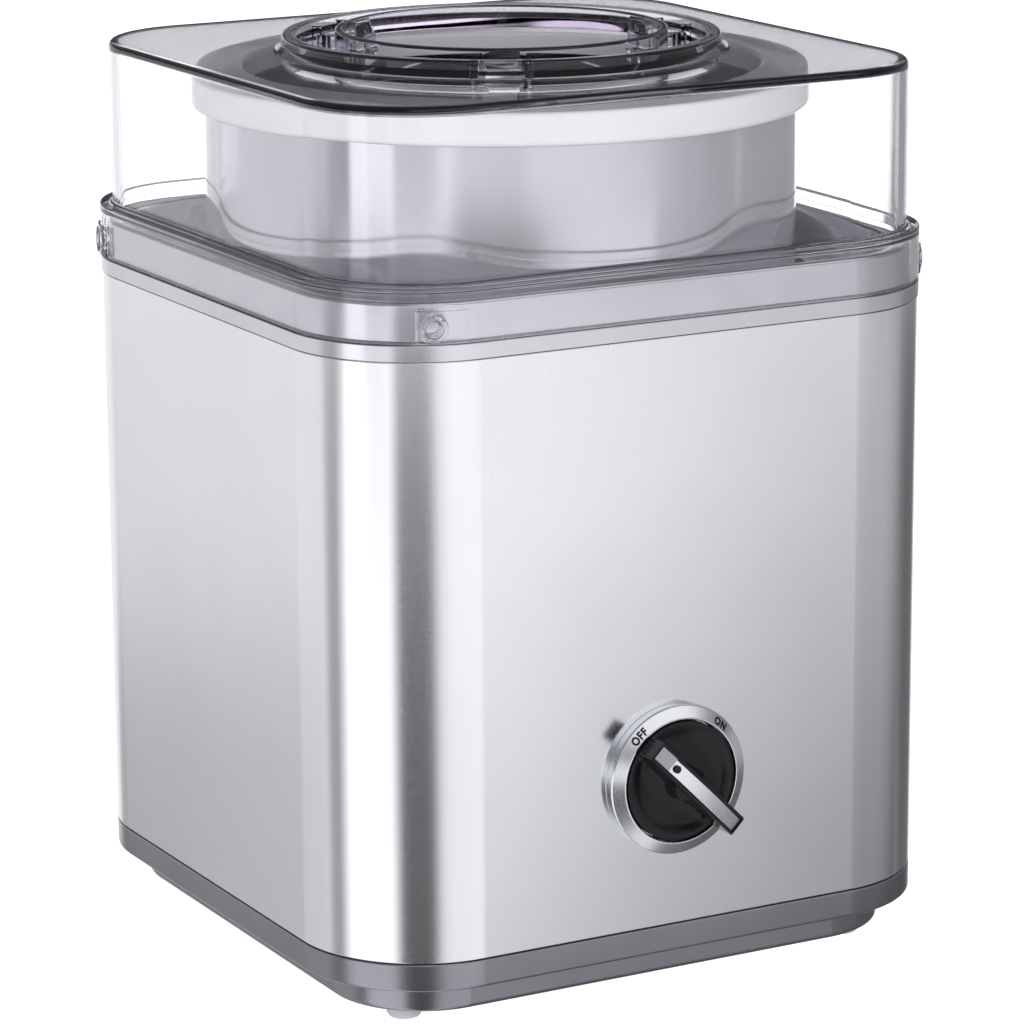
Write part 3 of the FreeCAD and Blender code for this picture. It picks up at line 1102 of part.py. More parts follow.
def rotary_switch():
    body = body_of("rotary_switch")
    back = "(-wrap_wall - switch_depth)"
    case = sketch(body, level=back)
    pad(body, rounded(case, "switch_half", "switch_half", "3"), "switch_depth")
    boss(body, THREAD, back, "switch_depth + wrap_wall + bezel_floor + nut_thick")
    bore(body, "dial_shaft + run_gap", level="-dial_shaft_depth - 0.5", length="40")
    node(face_front(body))
    nut = body_of("switch_nut")
    ring = sketch(nut, level="bezel_floor")
    reach = f"({THREAD} + nut_wall)"
    outline(ring, [(f"{reach} * cos({angle})", f"{reach} * sin({angle})")
                   for angle in range(0, 360, 60)])
    pad(nut, circle(ring, f"{THREAD} + press_gap"), "nut_thick")
    node(face_front(nut))
    blades = body_of("switch_terminals")
    for sign in (-1, 1):
        blade = sketch(blades, level=f"{back} - terminal_length")
        x = f"{sign} * terminal_place"
        rectangle(blade, f"{x} - terminal_thick / 2", "-terminal_width / 2",
                  f"{x} + terminal_thick / 2", "terminal_width / 2")
        pad(blades, blade, "terminal_length")
    node(face_front(blades))


# ---- cord inlet and wiring -----------------------------------------------------------------

def cord_gland():
    neck = GLAND_RADIUS
    inside = "(-wrap_wall - 0.2)"
    profile = [("cord_bore", "-gland_length"), (neck, "-gland_length"),
               (GLAND_CATCH, f"{inside} - 2"), (GLAND_CATCH, inside), (neck, inside),
               (neck, "0"), (GLAND_FLANGE, "0"), (GLAND_FLANGE, "gland_proud - 1"),
               (f"{GLAND_FLANGE} - 1", "gland_proud"), ("cord_bore", "gland_proud")]
    body = turned("cord_gland", profile)
    body.Placement.Rotation = FreeCAD.Rotation(FreeCAD.Vector(1, 0, 0), -90)
    move(body, "gland_x", HALF, "gland_level")


def terminal_block():
    body = body_of("terminal_block")
    base = sketch(body, level=f"{Z_PAN} + pan_floor")
    rounded(base, "block_width / 2", "block_length / 2", "2", "block_x", "block_y")
    pad(body, base, "block_height")
    return node(body)


def lead(points):
    """A round lead through points, straight runs joined by tangent arcs."""
    bend = value("lead_bend")
    spots = [FreeCAD.Vector(*(value(text) for text in point)) for point in points]
    edges = []
    start = spots[0]
    for index in range(1, len(spots) - 1):
        before = (spots[index - 1] - spots[index]).normalize()
        after = (spots[index + 1] - spots[index]).normalize()
        half_angle = before.getAngle(after) / 2
        back = bend / math.tan(half_angle)
        middle = (before + after).normalize()
        centre = spots[index] + middle * (bend / math.sin(half_angle))
        enter, leave = spots[index] + before * back, spots[index] + after * back
        edges.append(Part.LineSegment(start, enter).toShape())
        edges.append(Part.Arc(enter, centre - middle * bend, leave).toShape())
        start = leave
    edges.append(Part.LineSegment(start, spots[-1]).toShape())
    section = Part.Wire(Part.makeCircle(value("lead_radius"), spots[0], spots[1] - spots[0]))
    return Part.Wire(edges).makePipeShell([section], True, False)


def internal_leads():
    """Wiring that stays inside: inlet to block, block to switch, and switch to coil."""
    top = f"({Z_PAN} + pan_floor + block_height)"
    switch_back = f"(-{HALF} + wrap_wall + switch_depth + terminal_length)"
    coil_x, coil_y = MOTOR_AXIS
    coil_face = f"({coil_y} - {STACK_FRONT} - bobbin_wall - coil_thick - 0.05)"
    coil_level = f"({Z_STACK} + stack_height / 2)"
    routes = [
        [("gland_x", f"{HALF} - gland_length", "gland_level"), ("gland_x", f"{HALF} - 35", "gland_level"),
         ("block_x", "block_y + 8", f"{top} + 22"), ("block_x", "block_y + 8", top)],
        [("block_x", "block_y - 8", top), ("block_x", "block_y - 8", f"{top} + 16"),
         ("block_x", f"-{HALF} / 2", f"{top} + 16"),
         ("-terminal_place", f"{switch_back} + 12", "dial_level"),
         ("-terminal_place", switch_back, "dial_level")],
        [("terminal_place", switch_back, "dial_level"),
         ("terminal_place", f"{switch_back} + 12", "dial_level"),
         (coil_x, f"{coil_face} - 24", coil_level), (coil_x, coil_face, coil_level)],
    ]
    leads = add("Part::Feature", "internal_leads")
    leads.Shape = Part.makeCompound([lead(route) for route in routes])
    return node(leads)


# ---- the whole assembly --------------------------------------------------------------------

def build():
    base_skirt()
    base_pan()
    rubber_feet()
    housing_wrap()
    corner_columns()
    bowl_tub()
    top_trim()
    column_feet = square_places(COLUMN_PLACE)
    screws("column_screws", column_feet, Z_SKIRT, "skirt_floor + 12")
    pan_places = [(PAN_SCREW_PLACE, "0"), ("0", PAN_SCREW_PLACE),
                  (f"-{PAN_SCREW_PLACE}", "0"), ("0", f"-{PAN_SCREW_PLACE}")]
    screws("pan_screws", pan_places, f"({Z_PAN} + head_height + 1)", "pan_depth - head_height + 6")
    screws("case_screws", case_places(), Z_CASE, f"{Z_CASE_COVER} - {Z_CASE} + 8")
    clear_lid()
    bowl_shell()
    bowl_liner()
    bowl_rim()
    coolant_fill()
    fill_plug()
    mixing_paddle()
    drive_hub()
    output_shaft()
    hub_screw()
    output_bushes()
    gearcase_base()
    gearcase_cover()
    gear_pins()
    gear_train()
    stator_core()
    coil_bobbin()
    motor_winding()
    bar = f"({Z_STACK_TOP} + bracket_stand)"
    motor_bracket("upper_bracket", Z_STACK_TOP, bar, bar)
    foot = f"({Z_STACK} - bracket_stand)"
    bar = f"({Z_STACK} - bracket_stand - bracket_thick)"
    motor_bracket("lower_bracket", foot, bar, f"{bar} - hub_rise")
    motor_rotor()
    motor_bushes()
    cooling_fan()
    screws("motor_screws", motor_screw_places(), bar, f"{Z_CASE} + 1.8 - {bar}",
           "motor_screw", "screw_head + 0.4")
    dial_bezel()
    knob_body()
    knob_strip("knob_insert", f"-{INSERT_REACH} + insert_gap", TIP_START)
    knob_strip("knob_tip", f"{TIP_START} + fit", f"{INSERT_REACH} - insert_gap")
    dial_shaft()
    rotary_switch()
    cord_gland()
    terminal_block()
    internal_leads()
    DOC.recompute()


def check():
    """Stops on any failed object, and on any part that is not a valid solid."""
    failed = [item.Label for item in DOC.Objects if {"Invalid", "Error"} & set(item.State)]
    if failed:
        raise SystemExit(f"failed objects: {failed}")
    for part in NODES:
        if part.Shape.isNull() or not part.Shape.isValid() or not part.Shape.Solids:
            raise SystemExit(f"no valid solid in {part.Label}")


def write():
    os.makedirs("parts", exist_ok=True)
    for part in NODES:
        part.Shape.exportStep(f"parts/{part.Label}.step")
        print(part.Label, len(part.Shape.Solids), "solids", round(part.Shape.Volume), "mm3")


build()
check()
write()
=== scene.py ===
"""Looks of a countertop ice cream maker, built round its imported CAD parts.

Metres throughout.  The bowl turns about Z, the dial faces -Y and the feet stand on z = 0.
"""
import json
import math

import bmesh
import bpy
from mathutils import Matrix, Vector


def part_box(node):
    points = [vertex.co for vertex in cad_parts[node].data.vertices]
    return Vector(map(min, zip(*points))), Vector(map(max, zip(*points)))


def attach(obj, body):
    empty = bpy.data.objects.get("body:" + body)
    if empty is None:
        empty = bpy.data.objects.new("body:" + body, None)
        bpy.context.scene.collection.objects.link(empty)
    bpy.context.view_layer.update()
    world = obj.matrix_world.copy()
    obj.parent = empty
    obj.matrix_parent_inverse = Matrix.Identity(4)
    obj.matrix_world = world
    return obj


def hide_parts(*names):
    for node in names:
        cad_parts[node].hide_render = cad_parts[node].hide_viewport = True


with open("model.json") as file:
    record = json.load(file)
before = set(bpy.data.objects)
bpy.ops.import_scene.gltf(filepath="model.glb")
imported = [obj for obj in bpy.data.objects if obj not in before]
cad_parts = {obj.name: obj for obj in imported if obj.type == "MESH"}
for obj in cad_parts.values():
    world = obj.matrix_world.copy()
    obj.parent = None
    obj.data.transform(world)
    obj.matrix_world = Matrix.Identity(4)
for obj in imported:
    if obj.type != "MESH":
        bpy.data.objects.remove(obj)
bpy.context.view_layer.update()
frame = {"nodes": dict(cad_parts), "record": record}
NODES = frame["nodes"]
MM = 0.001


def low(node, axis=2):
    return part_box(node)[0][axis]


def high(node, axis=2):
    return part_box(node)[1][axis]


# ---- sizes that follow the CAD boxes ---------------------------------------------------------

HALF = high("housing_wrap", 0)
CORNER = 40.6 * MM
TRIM_HALF = high("top_trim", 0)
TRIM_CORNER = CORNER + TRIM_HALF - HALF
Z_PAN = low("base_pan")
Z_SKIRT = high("base_pan")
Z_WRAP = low("housing_wrap")
Z_TRIM = high("housing_wrap")
Z_FLANGE = low("clear_lid")
LID_WALL = 2.5 * MM
Z_TRIM_TOP = high("top_trim")
Z_STEP = Z_TRIM_TOP + LID_WALL + 0.3 * MM
BOX_HEIGHT = 51.5 * MM
Z_LID = Z_STEP + BOX_HEIGHT
Z_COLLAR = high("clear_lid")
BAND_INSET = 2.9 * MM
BOX_INSET = 4.1 * MM
COLLAR_BORE = 64.5 * MM
COLLAR_WALL = 3.8 * MM
NECK = 98.6 * MM
DIAL = Vector((0, -HALF, 70.2 * MM))
LUG_HALF = 7 * MM
LUG_TURNS = [Matrix.Rotation(math.radians(-118.7 + 120 * index), 4, "Z") for index in range(3)]
SEAM = 0.4 * MM
TONGUE = 1.1 * MM
TONGUE_HEIGHT = 7 * MM
STUD_ANGLE = 249.5
QUARTERS = [Matrix.Rotation(quarter * math.pi / 2, 4, "Z") for quarter in range(4)]

# ---- meshes ----------------------------------------------------------------------------------


def finish_mesh(name, mesh, sharp=40):
    """Smooth shading, with hard edges kept and wide flats kept flat."""
    mesh.polygons.foreach_set("use_smooth", [True] * len(mesh.polygons))
    mesh.set_sharp_from_angle(angle=math.radians(sharp))
    made = bpy.data.objects.new(name, mesh)
    bpy.context.scene.collection.objects.link(made)
    even = made.modifiers.new("even", "WEIGHTED_NORMAL")
    even.mode = "FACE_AREA"
    even.keep_sharp = True
    return made


def build(name, verts, faces, sharp=40):
    mesh = bpy.data.meshes.new(name)
    mesh.from_pydata([tuple(v) for v in verts], [], faces)
    mesh.validate()
    shape = bmesh.new()
    shape.from_mesh(mesh)
    bmesh.ops.remove_doubles(shape, verts=shape.verts, dist=0.002 * MM)
    bmesh.ops.recalc_face_normals(shape, faces=shape.faces)
    shape.to_mesh(mesh)
    shape.free()
    return finish_mesh(name, mesh, sharp)


def applied(made):
    """The same object with its modifiers worked into its mesh."""
    graph = bpy.context.evaluated_depsgraph_get()
    mesh = bpy.data.meshes.new_from_object(made.evaluated_get(graph))
    made.modifiers.clear()
    made.data = mesh
    return made


def combine(target, tools, operation):
    """Joins other solids to one, or cuts them out of it."""
    while target.modifiers:
        target.modifiers.remove(target.modifiers[0])
    for tool in tools:
        step = target.modifiers.new("step", "BOOLEAN")
        step.operation = operation
        step.solver = "EXACT"
        step.object = tool
        applied(target)
    mesh = target.data
    name = target.name
    for tool in tools:
        bpy.data.objects.remove(tool)
    bpy.data.objects.remove(target)
    made = finish_mesh("joined", mesh)
    made.name = name
    return made


def rounded(points, radius, steps=4, closed=True):
    """A polyline whose corners are arcs; radius is one number or one for each point."""
    made = []
    count = len(points)
    for index, point in enumerate(points):
        here = Vector(point)
        size = radius[index] if isinstance(radius, (list, tuple)) else radius
        inside = closed or 0 < index < count - 1
        if not inside or size <= 0:
            made.append(here)
            continue
        before = Vector(points[index - 1]) - here
        after = Vector(points[(index + 1) % count]) - here
        angle = before.angle(after)
        if angle > math.radians(178):
            made.append(here)
            continue
        back = min(size / math.tan(angle / 2), before.length * 0.49, after.length * 0.49)
        start = here + before.normalized() * back
        end = here + after.normalized() * back
        for step in range(steps + 1):
            t = step / steps
            made.append(start * (1 - t) ** 2 + here * 2 * t * (1 - t) + end * t * t)
    return made


def square_ring(half, corner, arc=24, side=1):
    """Points round a square with rounded corners, anticlockwise from the right side."""
    reach = half - corner
    quarter = []
    for step in range(side):
        quarter.append(Vector((half, -reach + 2 * reach * step / side)))
    for step in range(arc):
        angle = math.pi / 2 * step / arc
        quarter.append(Vector((reach + corner * math.cos(angle), reach + corner * math.sin(angle))))
    ring = []
    for turn in range(4):
        turned = Matrix.Rotation(turn * math.pi / 2, 2)
        ring += [turned @ point for point in quarter]
    return ring


def skin(rings, closed=True):
    """Vertices and faces of a tube through equal rings; closed joins the last to the first."""
    count = len(rings[0])
    verts = [vert for ring in rings for vert in ring]
    faces = []
    for row in range(len(rings) if closed else len(rings) - 1):
        following = (row + 1) % len(rings)
        for column in range(count):
            beside = (column + 1) % count
            faces.append((row * count + column, row * count + beside,
                          following * count + beside, following * count + column))
    return verts, faces


def sweep_square(name, profile, half, corner, arc=24):
    """A closed (inset, z) profile taken round the housing's square."""
    rings = []
    for inset, z in profile:
        ring = square_ring(half - inset, max(corner - inset, MM), arc)
        rings.append([Vector((p.x, p.y, z)) for p in ring])
    return build(name, *skin(rings))


def lathe(name, profile, segments=144, closed=True, centre=(0, 0), sharp=40):
    rings = []
    for radius, z in profile:
        ring = []
        for step in range(segments):
            angle = 2 * math.pi * step / segments
            ring.append(Vector((centre[0] + radius * math.cos(angle),
                                centre[1] + radius * math.sin(angle), z)))
        rings.append(ring)
    return build(name, *skin(rings, closed), sharp)


def prism(name, outline, low_z, high_z, bevel=0.0, steps=3):
    """An outline raised between two levels, its edges rounded."""
    count = len(outline)
    verts = [Vector((x, y, low_z)) for x, y in outline] + [Vector((x, y, high_z)) for x, y in outline]
    faces = [tuple(range(count))[::-1], tuple(range(count, 2 * count))]
    for index in range(count):
        beside = (index + 1) % count
        faces.append((index, beside, count + beside, count + index))
    made = build(name, verts, faces)
    if bevel:
        while made.modifiers:
            made.modifiers.remove(made.modifiers[0])
        edge = made.modifiers.new("edge", "BEVEL")
        edge.width = bevel
        edge.segments = steps
        edge.limit_method = "ANGLE"
        edge.angle_limit = math.radians(50)
        applied(made)
        mesh = made.data
        bpy.data.objects.remove(made)
        made = finish_mesh(name, mesh)
    return made


def capped(made):
    """The same mesh with its open ends closed."""
    shape = bmesh.new()
    shape.from_mesh(made.data)
    bmesh.ops.holes_fill(shape, edges=shape.edges)
    bmesh.ops.recalc_face_normals(shape, faces=shape.faces)
    shape.to_mesh(made.data)
    shape.free()
    return made


def bar_through(name, rings):
    """A solid bar through a row of rings, with a flat face at each end."""
    verts, faces = skin(rings, False)
    count = len(rings[0])
    faces.append(tuple(range(count)))
    faces.append(tuple(range(len(verts) - count, len(verts))))
    return build(name, verts, faces)


def place(made, matrix):
    made.data.transform(matrix)
    return made


def join(name, parts):
    """One mesh from several that don't touch."""
    shape = bmesh.new()
    for part in parts:
        shape.from_mesh(part.data)
        bpy.data.objects.remove(part)
    mesh = bpy.data.meshes.new(name)
    shape.to_mesh(mesh)
    shape.free()
    return finish_mesh(name, mesh)


def wear(made, material, body, slot, *stands_for):
    """Gives a piece its material, its body and the CAD nodes it stands for; slot is not used."""
    made.data.materials.clear()
    made.data.materials.append(material)
    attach(made, body)
    if stands_for:
        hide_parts(*stands_for)
    return made


# ---- materials -------------------------------------------------------------------------------


class Graph:
    """Short names for making a material's nodes."""

    def __init__(self, name):
        self.material = bpy.data.materials.new(name)
        self.material.use_nodes = True
        self.tree = self.material.node_tree
        self.shader = self.tree.nodes["Principled BSDF"]
        self.output = self.tree.nodes["Material Output"]
        self.place = self.add("ShaderNodeTexCoord").outputs["Object"]

    def add(self, kind, **values):
        node = self.tree.nodes.new(kind)
        for key, value in values.items():
            if key in node.inputs:
                node.inputs[key].default_value = value
            else:
                setattr(node, key, value)
        return node

    def link(self, out, into):
        self.tree.links.new(out, into)

    def stretched(self, scale):
        node = self.add("ShaderNodeMapping")
        node.inputs["Scale"].default_value = scale
        self.link(self.place, node.inputs["Vector"])
        return node.outputs["Vector"]

    def noise(self, size, detail=2.0, stretch=(1, 1, 1), rough=0.5):
        """Noise whose lumps are about size across; the result runs from 0 to 1."""
        node = self.add("ShaderNodeTexNoise", Scale=1.0 / size, Detail=detail, Roughness=rough)
        self.link(self.stretched(stretch), node.inputs["Vector"])
        return node.outputs["Fac"]

    def spread(self, value, low_value, high_value, start=0.3, end=0.7):
        node = self.add("ShaderNodeMapRange")
        node.inputs["From Min"].default_value = start
        node.inputs["From Max"].default_value = end
        node.inputs["To Min"].default_value = low_value
        node.inputs["To Max"].default_value = high_value
        self.link(value, node.inputs["Value"])
        return node.outputs["Result"]

    def tint(self, value, dark, light):
        node = self.add("ShaderNodeMix", data_type="RGBA")
        node.inputs[6].default_value = (*dark, 1)
        node.inputs[7].default_value = (*light, 1)
        self.link(value, node.inputs[0])
        self.link(node.outputs[2], self.shader.inputs["Base Color"])

    def rough(self, value):
        self.link(value, self.shader.inputs["Roughness"])

    def bump(self, value, height, strength=1.0):
        node = self.add("ShaderNodeBump", Strength=strength, Distance=height)
        self.link(value, node.inputs["Height"])
        self.link(node.outputs["Normal"], self.shader.inputs["Normal"])

    def set(self, **values):
        for key, value in values.items():
            self.shader.inputs[key.replace("_", " ")].default_value = value


def plastic(name, dark, light, rough, grain=0.5 * MM, bump=0.01 * MM, coat=0.0, metallic=0.0):
    """Moulded plastic or rubber: fine grain in the gloss and the surface, slow changes in the colour."""
    graph = Graph(name)
    fine = graph.noise(grain, 3.0)
    wide = graph.noise(35 * MM, 2.0)
    graph.tint(graph.spread(wide, 0.0, 1.0), dark, light)
    graph.rough(graph.spread(fine, rough * 0.82, rough * 1.18))
    graph.bump(fine, bump)
    graph.set(Coat_Weight=coat, Coat_Roughness=0.06, Metallic=metallic)
    return graph.material


def metal(name, dark, light, rough, grain=0.3 * MM, bump=0.004 * MM, stretch=(1, 1, 1), anisotropic=0.0):
    """Bare metal: fine grain in the gloss and the surface, slow changes in the colour."""
    graph = Graph(name)
    fine = graph.noise(grain, 4.0, stretch)
    wide = graph.noise(40 * MM, 2.0)
    graph.tint(graph.spread(wide, 0.0, 1.0), dark, light)
    graph.rough(graph.spread(fine, rough * 0.8, rough * 1.2))
    graph.bump(fine, bump)
    graph.set(Metallic=1.0, Anisotropic=anisotropic, Anisotropic_Rotation=0.25)
    if anisotropic:
        tangent = graph.add("ShaderNodeTangent", direction_type="RADIAL", axis="Z")
        graph.link(tangent.outputs["Tangent"], graph.shader.inputs["Tangent"])
    return graph.material


def clear_plastic(name):
    """Clear moulding that takes on a smoky violet where it is thick."""
    graph = Graph(name)
    haze = graph.noise(9 * MM, 3.0)
    graph.rough(graph.spread(haze, 0.0, 0.02))
    ripple = graph.noise(30 * MM, 1.0)
    graph.bump(ripple, 0.03 * MM)
    graph.tint(graph.spread(haze, 0.0, 1.0), (0.985, 0.98, 0.99), (1, 1, 1))
    graph.set(Transmission_Weight=1.0, IOR=1.49)
    absorb = graph.add("ShaderNodeVolumeAbsorption", Density=62.0)
    absorb.inputs["Color"].default_value = (0.78, 0.74, 0.82, 1)
    graph.link(absorb.outputs["Volume"], graph.output.inputs["Volume"])
    return graph.material


PANEL = metal("brushed_panel", (0.82, 0.83, 0.855), (0.85, 0.86, 0.88), 0.165, 0.35 * MM, 0.003 * MM,
              (0.35, 0.35, 1.6), 0.5)
TRIM = metal("silver_trim", (0.63, 0.63, 0.665), (0.68, 0.68, 0.715), 0.17, 0.45 * MM, 0.004 * MM)
SATIN = metal("satin_silver", (0.78, 0.79, 0.82), (0.84, 0.85, 0.87), 0.26, 0.25 * MM, 0.002 * MM)
# painted shade: the knob's tip is the strip's satin metal, coloured darker to stand for the shade on its
# sloped end
TIP_PAINTED_SHADE = metal("tip_satin_painted_shade", (0.30, 0.30, 0.33), (0.36, 0.36, 0.40), 0.16, 0.3 * MM, 0.001 * MM)
BASE = plastic("grey_base", (0.27, 0.27, 0.30), (0.31, 0.31, 0.34), 0.21, 0.5 * MM, 0.005 * MM, 0.0, 0.95)
TUB = plastic("dark_tub", (0.055, 0.055, 0.065), (0.075, 0.075, 0.085), 0.45)
FOOT = plastic("grey_rubber", (0.30, 0.30, 0.32), (0.36, 0.36, 0.38), 0.55, 0.7 * MM, 0.02 * MM)
GROMMET = plastic("black_rubber", (0.02, 0.02, 0.022), (0.03, 0.03, 0.034), 0.5, 0.5 * MM, 0.02 * MM)
CLEAR = clear_plastic("clear_smoke")
SHELL = plastic("pearl_shell", (0.58, 0.57, 0.61), (0.61, 0.60, 0.64), 0.10, 0.25 * MM, 0.0002 * MM,
                0.3, 0.82)
RIM = plastic("white_rim", (0.84, 0.84, 0.87), (0.88, 0.88, 0.90), 0.24, 0.6 * MM, 0.003 * MM, 0.3)
# painted shade: the liner's metal is coloured a dark brown-grey that stands for the shade inside the bowl,
# not the metal's own colour
LINER_PAINTED_SHADE = metal("liner_metal", (0.12, 0.10, 0.10), (0.16, 0.14, 0.13), 0.20, 0.4 * MM, 0.004 * MM,
              (1, 1, 0.25), 0.3)
COOLANT = plastic("coolant", (0.30, 0.52, 0.68), (0.36, 0.58, 0.74), 0.4)
GLOSS = plastic("black_gloss", (0.006, 0.006, 0.007), (0.009, 0.009, 0.011), 0.22, 0.6 * MM, 0.001 * MM)
GLOSS.node_tree.nodes["Principled BSDF"].inputs["Specular IOR Level"].default_value = 0.22
BLACK = plastic("black_plastic", (0.035, 0.035, 0.038), (0.05, 0.05, 0.055), 0.5, 0.4 * MM, 0.02 * MM)
NYLON = plastic("nylon", (0.72, 0.70, 0.63), (0.80, 0.78, 0.71), 0.45, 0.5 * MM, 0.01 * MM)
JACKET = plastic("lead_jacket", (0.58, 0.58, 0.55), (0.66, 0.66, 0.62), 0.5, 0.5 * MM, 0.01 * MM)
COPPER = metal("copper", (0.50, 0.20, 0.09), (0.66, 0.30, 0.15), 0.30, 0.5 * MM, 0.03 * MM, (1, 1, 3))
BRASS = metal("brass", (0.66, 0.50, 0.22), (0.74, 0.58, 0.28), 0.28, 0.4 * MM, 0.003 * MM)
STEEL = metal("steel", (0.48, 0.48, 0.50), (0.56, 0.56, 0.58), 0.30, 0.4 * MM, 0.004 * MM)

# ---- housing ---------------------------------------------------------------------------------


def wrap():
    """The steel panel, with eased edges, a hole for the dial's shaft and one for the cord."""
    wall = 0.8 * MM
    ease = 0.3 * MM
    profile = rounded([(0, Z_WRAP), (0, Z_TRIM), (wall, Z_TRIM), (wall, Z_WRAP)], ease, 3)
    made = sweep_square("panel", profile, HALF, CORNER, 32)
    shaft_hole = 5.2 * MM
    cord_hole = 7.1 * MM
    reach = 6 * MM
    on_side = Matrix.Rotation(math.pi / 2, 4, "X")
    cutters = []
    for spot, radius in (((0, -HALF, DIAL.z), shaft_hole), ((-55 * MM, HALF, 40 * MM), cord_hole)):
        cutter = capped(lathe("cutter", [(radius, -reach), (radius, reach)], 48, False))
        cutters.append(place(cutter, Matrix.Translation(spot) @ on_side))
    made = combine(made, cutters, "DIFFERENCE")
    return wear(made, PANEL, "housing", "brushed_panel", "housing_wrap")


def skirt():
    """The base's upper ring, with its ledge inside and its tongue up into the panel."""
    inner = 2.9 * MM
    ledge = 24 * MM
    z_seam = Z_WRAP - SEAM
    z_tongue = Z_WRAP + TONGUE_HEIGHT
    z_ledge = Z_SKIRT + 2 * MM
    profile = rounded([(0, Z_SKIRT), (0, z_seam), (TONGUE, z_seam), (TONGUE, z_tongue),
                       (inner, z_tongue), (inner, z_ledge), (ledge, z_ledge), (ledge, Z_SKIRT)],
                      [1.0 * MM, 0.45 * MM, 0.1 * MM, 0.3 * MM, 0.3 * MM, 0.5 * MM, 0.3 * MM, 0.3 * MM], 4)
    made = sweep_square("skirt", profile, HALF, CORNER)
    return wear(made, BASE, "housing", "grey_base", "base_skirt")


def feet():
    """Four stub feet, each with a stem up into the pan."""
    reach = 5.5 * MM
    stem = 2.5 * MM
    stem_top = Z_PAN + 2.3 * MM
    profile = rounded([(0, 0), (reach * 0.84, 0), (reach, 1.6 * MM), (reach, Z_PAN),
                       (stem, Z_PAN), (stem, stem_top), (0, stem_top)],
                      [0, 0.9 * MM, 0.8 * MM, 0.3 * MM, 0.1 * MM, 0.2 * MM, 0], 4)
    spot = HALF - 26.5 * MM
    parts = []
    for x in (-spot, spot):
        for y in (-spot, spot):
            parts.append(lathe("foot", profile, 48, True, (x, y)))
    return wear(join("feet", parts), FOOT, "housing", "grey_rubber", "rubber_feet")


def trim():
    """Silver ring: a lower band, a rim inside the lid, and a deck that falls to the round neck."""
    wall = 2.4 * MM
    inner = BAND_INSET + wall
    rim = Z_TRIM_TOP - 2.0 * MM
    z_flange = Z_FLANGE - 0.3 * MM
    thick = 2.2 * MM
    foot = high("bowl_tub") + 6.0 * MM
    arc, side = 24, 16
    ease = 0.35 * MM

    def band(inset, z):
        ring = square_ring(TRIM_HALF - inset, TRIM_CORNER - inset, arc, side)
        return [Vector((p.x, p.y, z)) for p in ring]

    shoulder = band(inner, 0)

    def fallen(share):
        """How far down the deck has come at a share of the way to the neck."""
        return (foot - rim) * (share * share * (3 - 2 * share))

    def deck(share, z, grow=0):
        """A ring between the rim and the neck; share is 0 at the rim and 1 at the neck."""
        ring = []
        for point in shoulder:
            across = Vector((point.x, point.y, 0))
            neck = across.normalized() * (NECK + grow)
            at = across.lerp(neck, share)
            ring.append(Vector((at.x, at.y, z)))
        return ring

    rings = [band(inset, z) for inset, z in rounded(
        [(0, Z_TRIM + SEAM), (0, z_flange), (BAND_INSET, z_flange), (BAND_INSET, rim), (inner, rim)],
        [ease, ease, 0.3 * MM, 1.9 * MM, 0], 6, False)]
    steps = 14
    for step in range(1, steps + 1):
        rings.append(deck(step / steps, rim + fallen(step / steps)))
    lip = high("bowl_tub") - 2.0 * MM
    rings += [deck(1, foot - 1.5 * MM), deck(1, lip), deck(1, lip, thick), deck(0.9, foot - thick)]
    for step in range(steps - 3, 1, -2):
        rings.append(deck(step / steps, rim - thick + fallen(step / steps)))
    z_tongue = Z_TRIM - TONGUE_HEIGHT
    rings += [band(inner, Z_TRIM_TOP - 6 * MM), band(inner, z_tongue), band(TONGUE, z_tongue),
              band(TONGUE, Z_TRIM + SEAM)]
    made = build("trim", *skin(rings), 50)
    return wear(made, TRIM, "housing", "silver_trim", "top_trim")


# ---- lid -------------------------------------------------------------------------------------


